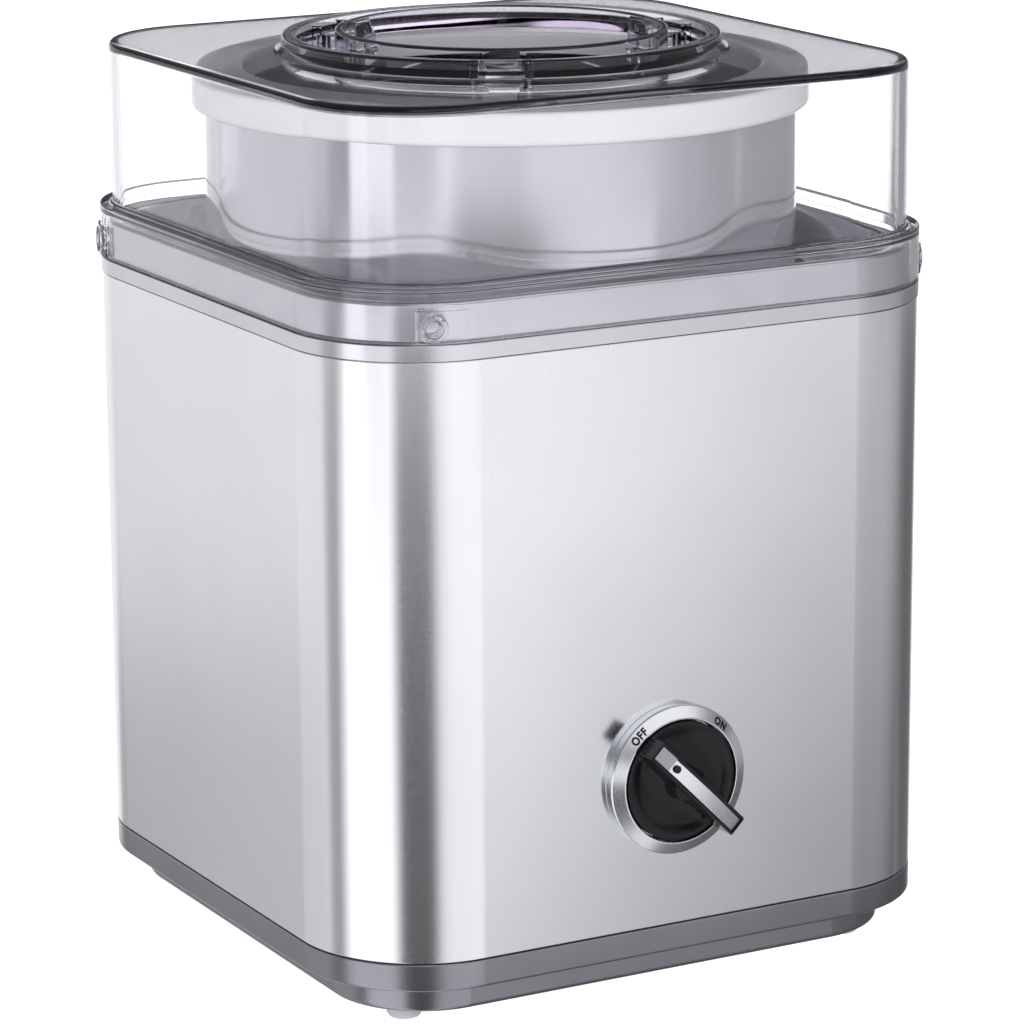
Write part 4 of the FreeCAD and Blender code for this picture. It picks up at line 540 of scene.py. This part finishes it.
def lid():
    """Clear cover: flange, box and collar as one loft from square to round, then its small parts."""
    arc, side = 16, 20
    under = Z_LID - LID_WALL
    seat = Z_FLANGE
    step_under = Z_STEP - LID_WALL
    box = BOX_INSET

    def square(inset, z):
        ring = square_ring(TRIM_HALF - inset, TRIM_CORNER - inset, arc, side)
        return [Vector((p.x, p.y, z)) for p in ring]

    guide = square(box, 0)
    blend = box + 14 * MM

    def round_ring(radius, z):
        return [Vector((*(p.to_2d().normalized() * radius), z)) for p in guide]

    outside = rounded([(0.15 * MM, seat), (0, seat + 0.2 * MM), (0, Z_STEP), (box, Z_STEP), (box, Z_LID),
                       (blend, Z_LID)],
                      [0, 0.1 * MM, 0.7 * MM, 0.9 * MM, 2.0 * MM, 0], 6, False)
    rings = [square(inset, z) for inset, z in outside]
    base = COLLAR_BORE + COLLAR_WALL + 1.5 * MM
    collar = rounded([(base + 6 * MM, Z_LID), (base + 0.6 * MM, Z_LID), (base - 1.2 * MM, Z_LID + 2.2 * MM),
                      (base - 1.5 * MM, Z_COLLAR), (COLLAR_BORE, Z_COLLAR), (COLLAR_BORE, under),
                      (base + 3 * MM, under)],
                     [0, 1.4 * MM, 0.8 * MM, 1.2 * MM, 0.8 * MM, 0.4 * MM, 0], 6, False)
    rings += [round_ring(radius, z) for radius, z in collar]
    inside = rounded([(blend, under), (box + LID_WALL, under), (box + LID_WALL, step_under),
                      (LID_WALL, step_under), (LID_WALL, seat), (0.15 * MM, seat)],
                     [0, 0.8 * MM, 0.5 * MM, 0.4 * MM, 0.15 * MM, 0], 6, False)
    rings += [square(inset, z) for inset, z in inside[:-1]]
    made = build("lid", *skin(rings))

    parts = []
    gap = LUG_HALF + 0.6 * MM
    rail_width = 1.6 * MM
    rail_in, rail_out = COLLAR_BORE - 3.5 * MM, COLLAR_BORE + 1.2 * MM
    for turned in LUG_TURNS:
        for sign in (-1, 1):
            near, far = sorted((sign * gap, sign * (gap + rail_width)))
            outline = [(rail_in, near), (rail_out, near), (rail_out, far), (rail_in, far)]
            rail = prism("rail", outline, under - 6 * MM, Z_COLLAR - 1.5 * MM, 0.4 * MM, 3)
            parts.append(place(rail, turned))
    middle = TRIM_HALF - TRIM_CORNER
    sunk, groove = -0.6 * MM, 0.75 * MM
    stud_profile = rounded([(0, sunk), (4.1 * MM, sunk), (4.1 * MM, 1.3 * MM), (2.9 * MM, 1.3 * MM),
                            (2.9 * MM, groove), (2.3 * MM, groove), (2.3 * MM, 1.5 * MM), (0, 1.5 * MM)],
                           [0, 0, 0.4 * MM, 0.3 * MM, 0.2 * MM, 0.2 * MM, 0.5 * MM, 0], 4)
    for turned in QUARTERS:
        parts.append(place(snap_tab(middle), turned))
        stud = lathe("stud", stud_profile, 40)
        out = Matrix.Rotation(math.radians(STUD_ANGLE), 4, "Z") @ Matrix.Rotation(math.pi / 2, 4, "Y")
        spot = out @ Vector((0, 0, TRIM_CORNER)) + Vector((-middle, -middle, Z_FLANGE + 4.8 * MM))
        parts.append(place(stud, turned @ Matrix.Translation(spot) @ out))
    made = combine(made, parts, "UNION")
    made.visible_shadow = False
    return wear(made, CLEAR, "lid", "clear_smoke", "clear_lid")


def snap_tab(middle):
    """A raised pad on the flange's corner that carries a small round stud."""
    rings = []
    steps = 14
    start, end = 242.0, 264.0
    sunk, foot, top = -0.5 * MM, 0.4 * MM, 9.8 * MM
    for step in range(steps + 1):
        angle = math.radians(start + (end - start) * step / steps)
        # it fades out where the corner meets the side, so that it stays within the flange's square
        room = TRIM_CORNER * (-1 / math.sin(angle) - 1)
        proud = min(0.7 * MM, 0.85 * room)
        ring = []
        for out, up in rounded([(sunk, foot), (proud, foot), (proud, top), (sunk, top)],
                               [0, 0.15 * MM, 0.15 * MM, 0], 3):
            reach = TRIM_CORNER + out
            ring.append(Vector((-middle + reach * math.cos(angle), -middle + reach * math.sin(angle),
                                Z_FLANGE + up)))
        rings.append(ring)
    return bar_through("tab", rings)


# ---- bowl ------------------------------------------------------------------------------------

Z_RIM = high("bowl_rim")
Z_BOWL = low("bowl_shell")
BOWL = 91.3 * MM
LINER_TOP = 82.0 * MM
LINER_LOW = 78.5 * MM


def bowl():
    """White rim, pearl shell with a socket under it, and the metal liner, its colour darkened as painted
    shade.
    """
    under = Z_RIM - 3.6 * MM
    inner = LINER_TOP - 1.5 * MM
    lip = inner + 1.3 * MM
    lip_low = Z_RIM - 7 * MM
    fit = BOWL + 0.2 * MM
    edge = BOWL + 3.9 * MM
    skirt_low = Z_RIM - 10.3 * MM
    profile = rounded([(inner, lip_low), (lip, lip_low), (lip, under), (fit, under), (fit, skirt_low),
                       (edge, skirt_low), (edge, Z_RIM), (inner, Z_RIM)],
                      [0.3 * MM, 0.3 * MM, 0.2 * MM, 0.2 * MM, 0.2 * MM, 2.6 * MM, 1.6 * MM, 1.4 * MM], 6)
    wear(lathe("rim", profile), RIM, "bowl", "white_rim", "bowl_rim")

    top = under - 0.3 * MM
    base = BOWL - 2.8 * MM
    wall = 2.2 * MM
    socket = 36 * MM
    floor = Z_BOWL + 3 * MM
    z_socket = Z_BOWL + 6 * MM
    plate = z_socket + 7 * MM
    upright = top - 62 * MM
    corners = [(socket, Z_BOWL, 0.5), (base, Z_BOWL, 6), (BOWL, upright, 9), (BOWL, top, 0.4),
               (BOWL - wall, top, 0.4), (base - wall, floor, 5), (socket + wall, floor, 0.5),
               (socket + wall, plate, 0.5), (0, plate, 0), (0, z_socket, 0), (socket, z_socket, 0.4)]
    profile = rounded([(x, z) for x, z, _ in corners], [size * MM for _, _, size in corners], 8)
    made = lathe("shell", profile)
    keys = []
    near, far, half = 7.4 * MM, 32.6 * MM, 3.6 * MM
    outline = [(near, -half), (far, -half), (far, half), (near, half)]
    for turned in QUARTERS:
        key = prism("key", outline, z_socket - 2 * MM, z_socket + 4.4 * MM, 0.5 * MM, 2)
        keys.append(place(key, turned))
    centre = rounded([(0, -2 * MM), (5.2 * MM, -2 * MM), (5.2 * MM, 1.8 * MM), (0, 1.8 * MM)],
                     [0, 0, 0.3 * MM, 0], 2)
    keys.append(place(lathe("key", centre, 48), Matrix.Translation((0, 0, z_socket))))
    made = combine(made, keys, "DIFFERENCE")
    wear(made, SHELL, "bowl", "pearl_shell", "bowl_shell")

    thick = 1.2 * MM
    z_floor = Z_BOWL + 19 * MM
    bend = 12 * MM
    profile = rounded([(0, z_floor), (LINER_LOW + thick, z_floor), (LINER_TOP + thick, top),
                       (LINER_TOP, top), (LINER_LOW, z_floor + thick), (0, z_floor + thick)],
                      [0, bend, 0.2 * MM, 0.2 * MM, bend - thick, 0], 12)
    # the liner wears its painted shade colour, darker than the bare metal
    wear(lathe("liner", profile), LINER_PAINTED_SHADE, "bowl", "liner_metal", "bowl_liner")


# ---- paddle ----------------------------------------------------------------------------------


def paddle():
    """Ring with three lugs, a flat frame of two arms and a bar, and two turned vanes."""
    top = high("mixing_paddle")
    foot_of_ring = top - 23.8 * MM
    outer = COLLAR_BORE - 12.8 * MM
    inner = outer - 2.2 * MM
    profile = rounded([(inner, foot_of_ring), (outer, foot_of_ring), (outer, top), (inner, top)],
                      [0.4 * MM, 0.4 * MM, 0.9 * MM, 0.6 * MM], 5)
    ring = lathe("paddle", profile)
    parts = []
    start = outer - 1.1 * MM
    lug_end = COLLAR_BORE - 0.9 * MM
    outline = [(start, -LUG_HALF), (lug_end, -LUG_HALF), (lug_end, LUG_HALF), (start, LUG_HALF)]
    for turned in LUG_TURNS:
        lug = prism("lug", outline, top - 12 * MM, top - 5.5 * MM, 0.9 * MM, 4)
        parts.append(place(lug, turned))
    reach_top = LINER_TOP - 1.5 * MM - 2.2 * MM
    reach_low = LINER_LOW - 2.2 * MM
    floor = Z_BOWL + 20.2 * MM
    foot = floor + 2.2 * MM
    bend = 12 * MM
    width = 11 * MM
    bar = foot + 13 * MM
    arm_top = foot_of_ring + 10 * MM
    rise = foot_of_ring - 1 * MM
    for sign in (-1, 1):
        side = [(0, foot), (reach_low - bend, foot), (reach_low - bend * 0.3, foot + bend * 0.3),
                (reach_low, foot + bend), (reach_top, arm_top - 3 * MM), (reach_top - 3 * MM, arm_top),
                (start, arm_top - 0.6 * MM), (start, rise), (reach_top - width, rise),
                (reach_low - width, bar + bend), (reach_low - width - bend, bar), (0, bar)]
        arm = prism("arm", [(sign * x, z) for x, z in side][::sign], -2 * MM, 2 * MM, 0.7 * MM, 3)
        parts.append(place(arm, Matrix.Rotation(math.pi / 2, 4, "X")))
    half, thin, vane_out = 13 * MM, 1.5 * MM, 36 * MM
    vane_turn = Matrix.Rotation(math.radians(40), 4, "Z")
    outline = [(-half, -thin), (half, -thin), (half, thin), (-half, thin)]
    for sign in (-1, 1):
        vane = prism("vane", outline, foot + 1 * MM, foot_of_ring - 44.6 * MM, 0.9 * MM, 3)
        parts.append(place(vane, Matrix.Translation((sign * vane_out, 0, 0)) @ vane_turn))
    hub, hub_low, hub_high = 9 * MM, floor + 0.3 * MM, floor + 13.3 * MM
    profile = rounded([(0, hub_low), (hub, hub_low), (hub, hub_high), (0, hub_high)],
                      [0, 0.8 * MM, 0.8 * MM, 0], 4)
    parts.append(lathe("pivot", profile, 64))
    made = combine(ring, parts, "UNION")
    made.visible_shadow = False
    return wear(made, CLEAR, "paddle", "clear_smoke", "mixing_paddle")


# ---- dial ------------------------------------------------------------------------------------


def to_front(turn=0.0):
    """From a flat layout, with +Z towards the viewer and +Y up, to the dial on the front panel."""
    facing = Matrix(((1, 0, 0, 0), (0, 0, -1, 0), (0, 1, 0, 0), (0, 0, 0, 1)))
    return Matrix.Translation(DIAL) @ facing @ Matrix.Rotation(math.radians(turn), 4, "Z")


BEZEL = 23.3 * MM
BORE = 19.1 * MM
SIDE = 3.3 * MM
PROUD = 5.5 * MM
OFF_TURN = 45
MARK_RADIUS = 21.15 * MM
MARK_SIZE = 3.0 * MM


def bezel():
    """Satin ring with a sloped face, and a thin floor round the shaft."""
    hole = 5.2 * MM
    plate = 1 * MM
    profile = rounded([(hole, 0), (BEZEL, 0), (BEZEL, SIDE), (BORE, PROUD), (BORE, plate), (hole, plate)],
                      [0.1 * MM, 0.3 * MM, 0.9 * MM, 0.5 * MM, 0.3 * MM, 0.1 * MM], 5)
    made = lathe("bezel", profile, 128)
    place(made, to_front())
    return wear(made, SATIN, "housing", "satin_silver", "dial_bezel")


def lettering(name, words, angle, radius, size):
    """Black letters laid on the bezel's slope, with their tops outward."""
    curve = bpy.data.curves.new(name, "FONT")
    curve.body = words
    curve.size = size
    curve.align_x = "CENTER"
    curve.align_y = "CENTER"
    curve.offset = size * 0.05
    curve.space_character = 1.16
    curve.extrude = 0.04 * MM
    flat = bpy.data.objects.new(name, curve)
    bpy.context.scene.collection.objects.link(flat)
    bpy.context.view_layer.update()
    mesh = bpy.data.meshes.new_from_object(flat.evaluated_get(bpy.context.evaluated_depsgraph_get()))
    bpy.data.objects.remove(flat)
    slope = (PROUD - SIDE) / (BEZEL - BORE)
    for vert in mesh.vertices:
        turn = math.radians(90 + angle) - vert.co.x / radius
        reach = radius + vert.co.y
        level = PROUD - (reach - BORE) * slope + vert.co.z
        vert.co = (reach * math.cos(turn), reach * math.sin(turn), level)
    made = finish_mesh(name, mesh, 30)
    place(made, to_front())
    return wear(made, GLOSS, "housing", "black_gloss")


def crowned_strip(half, start, end, low_z, high_z):
    """A bar whose top bows up along its length, with eased long edges."""
    radius = 150 * MM
    ease = 0.25 * MM
    count = 24
    rings = []
    for step in range(count + 1):
        y = start + (end - start) * step / count
        crown = high_z - (y - (start + end) / 2) ** 2 / (2 * radius)
        rings.append([Vector((x, y, z)) for x, z in rounded(
            [(-half, low_z), (half, low_z), (half, crown), (-half, crown)], [0, 0, ease, ease], 3)])
    return bar_through("strip", rings)


def knob():
    """Black disc, dished each side of a tall grip fin, with a bright strip, its tip and a dot."""
    rise = 3.4 * MM
    disc = 5.3 * MM
    edge = BORE - 0.5 * MM
    fin_half = 3.3 * MM
    rings = []
    segments = 96
    turns = [(math.cos(2 * math.pi * s / segments), math.sin(2 * math.pi * s / segments))
             for s in range(segments)]
    start = edge - 2.2 * MM
    for radius, z in rounded([(0, rise), (edge, rise), (edge, disc), (start, disc)],
                             [0, 0.3 * MM, 0.7 * MM, 0], 4, False):
        rings.append([Vector((radius * across, radius * up, z)) for across, up in turns])
    steps = 14
    depth = 1.35 * MM
    for step in range(1, steps + 1):
        radius = start * (1 - step / steps)
        ring = []
        for across, up in turns:
            x, y = radius * across, radius * up
            chord = math.sqrt(max(start * start - y * y, 0.0))
            share = min(max((abs(x) - fin_half) / max(chord - fin_half, 0.5 * MM), 0.0), 1.0)
            dish = depth * math.sin(math.pi * share) ** 0.8 if share < 1 else 0.0
            ring.append(Vector((x, y, disc - dish)))
        rings.append(ring)
    body = capped(build("knob", *skin(rings, False), 45))

    foot = BORE - 0.8 * MM
    reach = BORE + 0.7 * MM
    top = 15.4 * MM
    fin_low = rise + 0.5 * MM
    step_up = PROUD + 0.7 * MM
    flare = step_up + 1.5 * MM
    outline = [(-foot, fin_low), (foot, fin_low), (foot, step_up), (reach, flare),
               (reach, top), (-reach, top), (-reach, flare), (-foot, step_up)]
    fin = prism("fin", outline, -fin_half, fin_half, 0.55 * MM, 4)
    place(fin, Matrix(((0, 0, 1, 0), (1, 0, 0, 0), (0, 1, 0, 0), (0, 0, 0, 1))))
    slot_half = 2.32 * MM
    slot_end = reach - 0.4 * MM
    slot = prism("slot", [(-slot_half, -slot_end), (slot_half, -slot_end), (slot_half, slot_end),
                          (-slot_half, slot_end)], top - 1.3 * MM, top + 2 * MM)
    stem_radius, stem_low, stem_high = 3.02 * MM, rise - 1 * MM, rise + 6 * MM
    outline = [(stem_radius, stem_low), (stem_radius, stem_high), (0, stem_high), (0, stem_low)]
    stem = lathe("stem", outline, 40)
    boss_radius, boss_high = 5.5 * MM, rise + 7.5 * MM
    boss = lathe("boss", [(boss_radius, rise), (boss_radius, boss_high), (0, boss_high), (0, rise)], 40)
    made = combine(body, [boss, fin], "UNION")
    made = combine(made, [slot, stem], "DIFFERENCE")
    made.name = "knob"
    place(made, to_front(OFF_TURN))
    wear(made, GLOSS, "knob", "black_gloss", "knob_body")

    half = 2.25 * MM
    base = top - 1.28 * MM
    tip_start = slot_end - 6.6 * MM
    strip = crowned_strip(half, 0.05 * MM - slot_end, tip_start - 0.05 * MM, base, top - 0.04 * MM)
    place(strip, to_front(OFF_TURN))
    strip.visible_glossy = False
    wear(strip, SATIN, "knob", "satin_silver", "knob_insert")
    end = slot_end - 0.05 * MM
    verts = []
    for x in (-half, half):
        for y, z in ((tip_start, base), (end, base), (end, top - 0.9 * MM), (tip_start, top)):
            verts.append(Vector((x, y, z)))
    faces = [(0, 1, 2, 3), (7, 6, 5, 4), (0, 4, 5, 1), (1, 5, 6, 2), (2, 6, 7, 3), (3, 7, 4, 0)]
    tip = build("tip", verts, faces)
    place(tip, to_front(OFF_TURN))
    tip.visible_glossy = False
    # painted shade: the tip wears a darker copy of the satin metal
    wear(tip, TIP_PAINTED_SHADE, "knob", "satin_silver", "knob_tip")
    dot_radius, dot_low = 1.2 * MM, top - 0.1 * MM
    profile = rounded([(0, dot_low), (dot_radius, dot_low), (dot_radius, top), (0, top)],
                      [0, 0, 0.02 * MM, 0], 2)
    dot = lathe("dot", profile, 32)
    place(dot, to_front(OFF_TURN) @ Matrix.Translation((0, tip_start - 2.4 * MM, 0)))
    wear(dot, GLOSS, "knob", "black_gloss")


# ---- carried-over CAD nodes ------------------------------------------------------------------

FINISHES = {
    "grey_base": BASE, "dark_tub": TUB, "black_rubber": GROMMET, "white_rim": RIM, "coolant": COOLANT,
    "black_plastic": BLACK, "nylon": NYLON, "lead_jacket": JACKET, "copper": COPPER, "brass": BRASS,
    "steel": STEEL, "brushed_panel": PANEL, "silver_trim": TRIM, "satin_silver": SATIN,
    "grey_rubber": FOOT, "clear_smoke": CLEAR, "pearl_shell": SHELL, "liner_metal": LINER_PAINTED_SHADE,
    "black_gloss": GLOSS,
}


def carried_over():
    slots = {row["node"]: row["material_slot"] for row in frame["record"]["subparts"]}
    for name, node in NODES.items():
        node.data.materials.clear()
        node.data.materials.append(FINISHES[slots[name]])


# ---- stage -----------------------------------------------------------------------------------


def camera():
    """A long lens above and to the left of the dial's front."""
    spot = (-0.6692, -1.2253, 0.4721)
    yaw, pitch, roll = 0.5016, 0.2401, -0.0061
    forward = Vector((math.sin(yaw) * math.cos(pitch), math.cos(yaw) * math.cos(pitch), -math.sin(pitch)))
    right = Vector((math.cos(yaw), -math.sin(yaw), 0))
    up = right.cross(forward)
    right = right * math.cos(roll) + up * math.sin(roll)
    up = right.cross(forward)
    data = bpy.data.cameras.new("camera")
    data.lens = 158.5
    data.sensor_width = 36
    made = bpy.data.objects.new("camera", data)
    bpy.context.scene.collection.objects.link(made)
    turned = Matrix((right, up, -forward)).transposed().to_4x4()
    made.matrix_world = Matrix.Translation(spot) @ turned
    bpy.context.scene.camera = made


def floor():
    """A plain white disc on z = 0."""
    radius, count = 6.0, 64
    ring = []
    for step in range(count):
        angle = 2 * math.pi * step / count
        ring.append((radius * math.cos(angle), radius * math.sin(angle), 0))
    mesh = bpy.data.meshes.new("floor")
    mesh.from_pydata(ring, [], [tuple(range(count))])
    made = bpy.data.objects.new("floor", mesh)
    bpy.context.scene.collection.objects.link(made)
    graph = Graph("floor")
    graph.tint(graph.noise(0.4), (0.90, 0.90, 0.91), (0.94, 0.94, 0.94))
    graph.set(Roughness=0.9, Emission_Color=(1, 1, 1, 1), Emission_Strength=0.95)
    # seen from below, the floor is open, so that the underside shows
    back = graph.add("ShaderNodeNewGeometry").outputs["Backfacing"]
    either = graph.add("ShaderNodeMixShader")
    graph.link(back, either.inputs[0])
    graph.link(graph.shader.outputs[0], either.inputs[1])
    graph.link(graph.add("ShaderNodeBsdfTransparent").outputs[0], either.inputs[2])
    graph.link(either.outputs[0], graph.output.inputs["Surface"])
    mesh.materials.append(graph.material)
    made.visible_glossy = False
    made.visible_transmission = False


def studio():
    """White for the camera; for light and reflections, a room laid out by azimuth and pitch in degrees."""
    world = bpy.data.worlds.new("studio")
    bpy.context.scene.world = world
    world.use_nodes = True
    tree = world.node_tree
    nodes, links = tree.nodes, tree.links
    nodes.clear()

    def number(operation, *values):
        node = nodes.new("ShaderNodeMath")
        node.operation = operation
        for index, value in enumerate(values):
            if isinstance(value, (int, float)):
                node.inputs[index].default_value = value
            else:
                links.new(value, node.inputs[index])
        return node.outputs[0]

    def times(first, second):
        return number("MULTIPLY", first, second)

    def span(value, start, end, first=0.0, last=1.0, smooth=False):
        """Runs from first to last as value goes from start to end, and stays there on each side."""
        node = nodes.new("ShaderNodeMapRange")
        node.interpolation_type = "SMOOTHSTEP" if smooth else "LINEAR"
        for socket, level in (("From Min", start), ("From Max", end), ("To Min", first), ("To Max", last)):
            node.inputs[socket].default_value = level
        links.new(value, node.inputs["Value"])
        return node.outputs["Result"]

    def window(value, start, risen, falling, end):
        """1 from risen to falling, and 0 before start and after end."""
        return times(span(value, start, risen), span(value, falling, end, 1.0, 0.0))

    def ramp(value, stops):
        """A cool grey level for each azimuth."""
        node = nodes.new("ShaderNodeValToRGB")
        elements = node.color_ramp.elements
        while len(elements) > 1:
            elements.remove(elements[0])
        elements[0].position = 0.0
        for index, (angle, level) in enumerate(stops):
            element = elements[0] if index == 0 else elements.new(angle / 360)
            element.color = (level * 0.985, level * 0.99, level * 1.01, 1)
        links.new(number("DIVIDE", value, 360.0), node.inputs["Fac"])
        return node.outputs["Color"]

    def mix(factor, first, second, blend="MIX"):
        node = nodes.new("ShaderNodeMix")
        node.data_type = "RGBA"
        node.blend_type = blend
        for index, value in ((0, factor), (6, first), (7, second)):
            if isinstance(value, (int, float, tuple)):
                node.inputs[index].default_value = value
            else:
                links.new(value, node.inputs[index])
        return node.outputs[2]

    split = nodes.new("ShaderNodeSeparateXYZ")
    links.new(nodes.new("ShaderNodeTexCoord").outputs["Generated"], split.inputs[0])
    x, y, z = split.outputs
    azimuth = number("DEGREES", number("ARCTAN2", y, x))
    azimuth = number("MODULO", number("ADD", azimuth, 360.0), 360.0)
    pitch = number("DEGREES", number("ARCSINE", z))
    seen = nodes.new("ShaderNodeLightPath")

    # round the housing: dark screens by the near corner, and a front that leans as it falls off
    tilt = times(number("ADD", pitch, 15.2), -0.35)
    tilt = number("MINIMUM", number("MAXIMUM", tilt, -4.0), 4.0)
    leaning = number("ADD", azimuth, times(tilt, span(azimuth, 285.0, 296.0)))
    walls = ramp(leaning, [
        (0, 0.22), (14, 0.13), (36, 0.16), (46, 0.9), (52, 0.95), (72, 0.95), (98, 0.95), (109, 0.76),
        (113.6, 0.80), (116, 0.93), (153, 0.96), (160, 0.40), (168, 0.36), (173, 0.80), (178, 1.30),
        (217, 1.30), (223, 0.50), (227, 0.14), (232, 0.09), (247, 0.09), (252, 0.17), (260, 0.80),
        (270, 1.14), (298.4, 1.24), (299.3, 1.12), (300.3, 0.90), (301.3, 0.74), (302.3, 0.57),
        (303.4, 0.47), (336, 0.46), (348, 0.37), (360, 0.22)])
    # the left side is darker low down
    left = window(azimuth, 90.0, 100.0, 150.0, 160.0)
    shade = times(span(pitch, -15.9, -14.9, 1.0, 0.0, True), span(azimuth, 113.6, 117.0, 0.52, 0.30))
    walls = mix(1.0, walls, number("SUBTRACT", 1.0, times(left, shade)), "MULTIPLY")
    # so is the front, most of all at its right
    front = span(pitch, -19.0, -12.0, 0.80, 1.06)
    right = span(pitch, -19.0, -11.5, 0.42, 1.42)
    turn = span(azimuth, 298.0, 304.0)
    fall = number("ADD", times(front, number("SUBTRACT", 1.0, turn)), times(right, turn))
    facing = span(azimuth, 262.0, 272.0)
    fall = number("ADD", times(facing, fall), number("SUBTRACT", 1.0, facing))
    walls = mix(1.0, walls, fall, "MULTIPLY")
    # higher up, round the bowl, the room is lit by narrower strips
    above = ramp(azimuth, [
        (0, 0.42), (28, 0.34), (44, 0.40), (50, 0.95), (54, 1.0), (72, 1.0), (84, 1.0), (100, 0.95),
        (150, 0.88), (166, 0.85), (170, 0.50), (178.5, 0.46), (180, 1.75), (197, 1.75), (199, 0.88),
        (214, 0.85), (221, 1.50), (227, 1.15), (246, 1.10), (252, 1.30), (282, 1.15), (300, 0.92),
        (316, 0.62), (330, 0.50), (360, 0.42)])
    around = mix(span(pitch, -11.3, -10.7, smooth=True), walls, above)
    # through the clear lid, the backdrop is brighter than the wall that the steel mirrors
    behind = times(window(azimuth, 44.0, 50.0, 74.0, 80.0), seen.outputs["Is Transmission Ray"])
    around = mix(behind, around, (1.9, 1.9, 1.92, 1))
    # overhead it is dark, but for one wide soft box in front of the dial
    dark = mix(span(pitch, 9.8, 12.0, smooth=True), (0.09, 0.085, 0.10, 1), (0.30, 0.30, 0.33, 1))
    box = times(window(azimuth, 232.0, 246.0, 316.0, 330.0), window(pitch, 15.0, 21.0, 46.0, 58.0))
    ceiling = mix(box, dark, (1.08, 1.08, 1.10, 1))
    whole = mix(span(pitch, 2.0, 6.0, smooth=True), around, ceiling)

    room = nodes.new("ShaderNodeBackground")
    links.new(whole, room.inputs["Color"])
    room.inputs["Strength"].default_value = 1.0
    white = nodes.new("ShaderNodeBackground")
    white.inputs["Color"].default_value = (1, 1, 1, 1)
    pick = nodes.new("ShaderNodeMixShader")
    links.new(seen.outputs["Is Camera Ray"], pick.inputs[0])
    links.new(room.outputs[0], pick.inputs[1])
    links.new(white.outputs[0], pick.inputs[2])
    output = nodes.new("ShaderNodeOutputWorld")
    links.new(pick.outputs[0], output.inputs["Surface"])


def lamps():
    """Two wide soft lights, low on the left and on the right of the camera."""
    away, height, lean = 1.5, 0.32, math.radians(92)
    for name, angle, power in (("left", 214.0, 12.5), ("right", 304.0, 10.0)):
        data = bpy.data.lights.new(name, "AREA")
        data.shape = "DISK"
        data.size = 0.8
        data.energy = power
        made = bpy.data.objects.new(name, data)
        bpy.context.scene.collection.objects.link(made)
        turned = Matrix.Rotation(math.radians(angle), 4, "Z") @ Matrix.Translation((away, 0, height))
        made.matrix_world = turned @ Matrix.Rotation(lean, 4, "Y")
        made.visible_glossy = False
        made.visible_transmission = False


bpy.context.scene.view_settings.view_transform = "Standard"
camera()
studio()
lamps()
floor()
carried_over()
wrap()
skirt()
feet()
trim()
lid()
bowl()
paddle()
bezel()
lettering("mark_off", "OFF", 42.3, MARK_RADIUS, MARK_SIZE)
lettering("mark_on", "ON", -41.7, MARK_RADIUS, MARK_SIZE)
knob()

bpy.context.view_layer.update()
